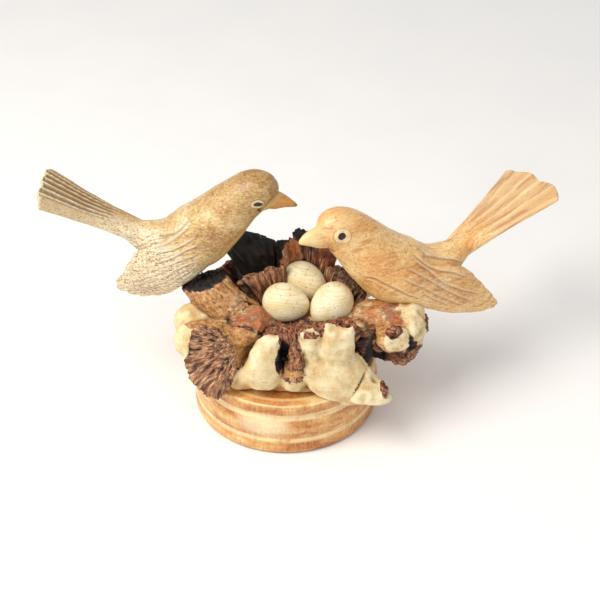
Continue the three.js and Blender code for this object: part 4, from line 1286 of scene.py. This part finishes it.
# The woods of the nest, each as the colours along a number.
grains = {
    "skin": [(0.3, "#eadcb4"), (0.5, "#dcc797"), (0.7, "#c4a068")],
    "sponge": [(0.34, "#6b3d20"), (0.44, "#ab7442"), (0.54, "#cf9f64"), (0.68, "#ebd2a0")],
    "fibre": [(0.36, "#150a07"), (0.43, "#421d11"), (0.5, "#774029"), (0.56, "#a97353"), (0.64, "#dcb594")],
    "tan": [(0.35, "#24120b"), (0.43, "#673d27"), (0.5, "#976a48"), (0.57, "#c09770"), (0.66, "#ecd2b0")],
    "orange": [(0.41, "#32100b"), (0.47, "#6d2612"), (0.52, "#9a441c"), (0.59, "#cb8145")],
    "purple": [(0.35, "#12060a"), (0.5, "#3a131b"), (0.62, "#6e2f26"), (0.75, "#a9684a")],
    "char": [(0.4, "#050201"), (0.56, "#150b07"), (0.72, "#3a2114")],
}


# Each wood covers the ones before it where its number on the mesh, roughened by noise, is high enough.
def nestWood():
    finish = Finish("parasiteWood")
    where = finish.local()
    ribs = finish.kept("ribs", "Vector")
    fibrous, charred, stained, spongy, depth, hollow, light = (
        finish.kept(name) for name in ("fibrous", "charred", "stained", "spongy", "depth", "hollow", "light")
    )
    patch = where.noise((9, 9, 9), detail=4, roughness=0.6)
    ragged = where.noise((1.6, 1.6, 1.6), detail=3, roughness=0.65)
    strand = ribs.noise(detail=4, roughness=0.7, scale=1.1)
    hair = ribs.noise(roughness=0.6, scale=3.0)
    pore = where.noise((0.8, 0.8, 0.8), detail=1)
    crumb = where.noise((1.9, 1.9, 1.9), detail=4, roughness=0.7)
    broad = where.noise((22, 22, 14))
    strands = strand * 0.65 + hair * 0.35

    skin = finish.layered(
        patch.ramp(*grains["skin"]),
        (broad.between(0.52, 0.68) * 0.5, "#cf9f62"),
        (ragged.between(0.56, 0.7) * 0.45, "#ac8550"),
        (pore.between(0.7, 0.76) * patch.between(0.4, 0.6), "#523a20"),
        # painted shade in the skin's hollows, and painted highlight on its bulges
        ((hollow + (patch - 0.5) * 0.8).between(0.05, 0.9) * 0.75, "#8d6838"),
        (hollow.between(-0.3, -0.9) * 0.4, "#f6edcf"),
    )
    wobble = (ragged - 0.5) * 0.8 + (patch - 0.5) * 0.5
    streaked = stained + (strand - 0.5) * 0.9 + (patch - 0.5) * 0.7 + (crumb - 0.5) * 0.8
    colour = finish.layered(
        skin,
        ((spongy + wobble).between(0.35, 0.65), (crumb * 0.5 + strand * 0.5).ramp(*grains["sponge"])),
        (
            (fibrous + wobble).between(0.4, 0.62),
            finish.blend(light, strands.ramp(*grains["fibre"]), strands.ramp(*grains["tan"])),
        ),
        (
            streaked.between(0.15, 0.65) * 0.9,
            (patch * 0.25 + strand * 0.4 + crumb * 0.35).ramp(*grains["orange"]),
        ),
        (streaked.between(0.7, 1.05) * 0.95, crumb.ramp(*grains["purple"])),
        # near-black: dark wood together with painted shade
        ((charred + wobble * 0.5).between(0.1, 1.0), strand.ramp(*grains["char"])),
        # painted shade, near-black, in the rib troughs and the creases between lobes
        (depth.between(0.3, 0.9) * 0.85, "#120805"),
        # painted shade, near-black, in the hollows of the fibrous wood
        (hollow.between(0.3, 1.0) * fibrous * 0.8, "#120805"),
    )
    height = fibrous * (0.7 * strand + 0.3 * hair) + spongy * 0.8 * crumb + 0.25 * ragged
    rough = 0.72 - 0.15 * patch.between(0.3, 0.7) + 0.15 * stained
    return finish.close(colour, rough, height, 0.9)


makeNest()
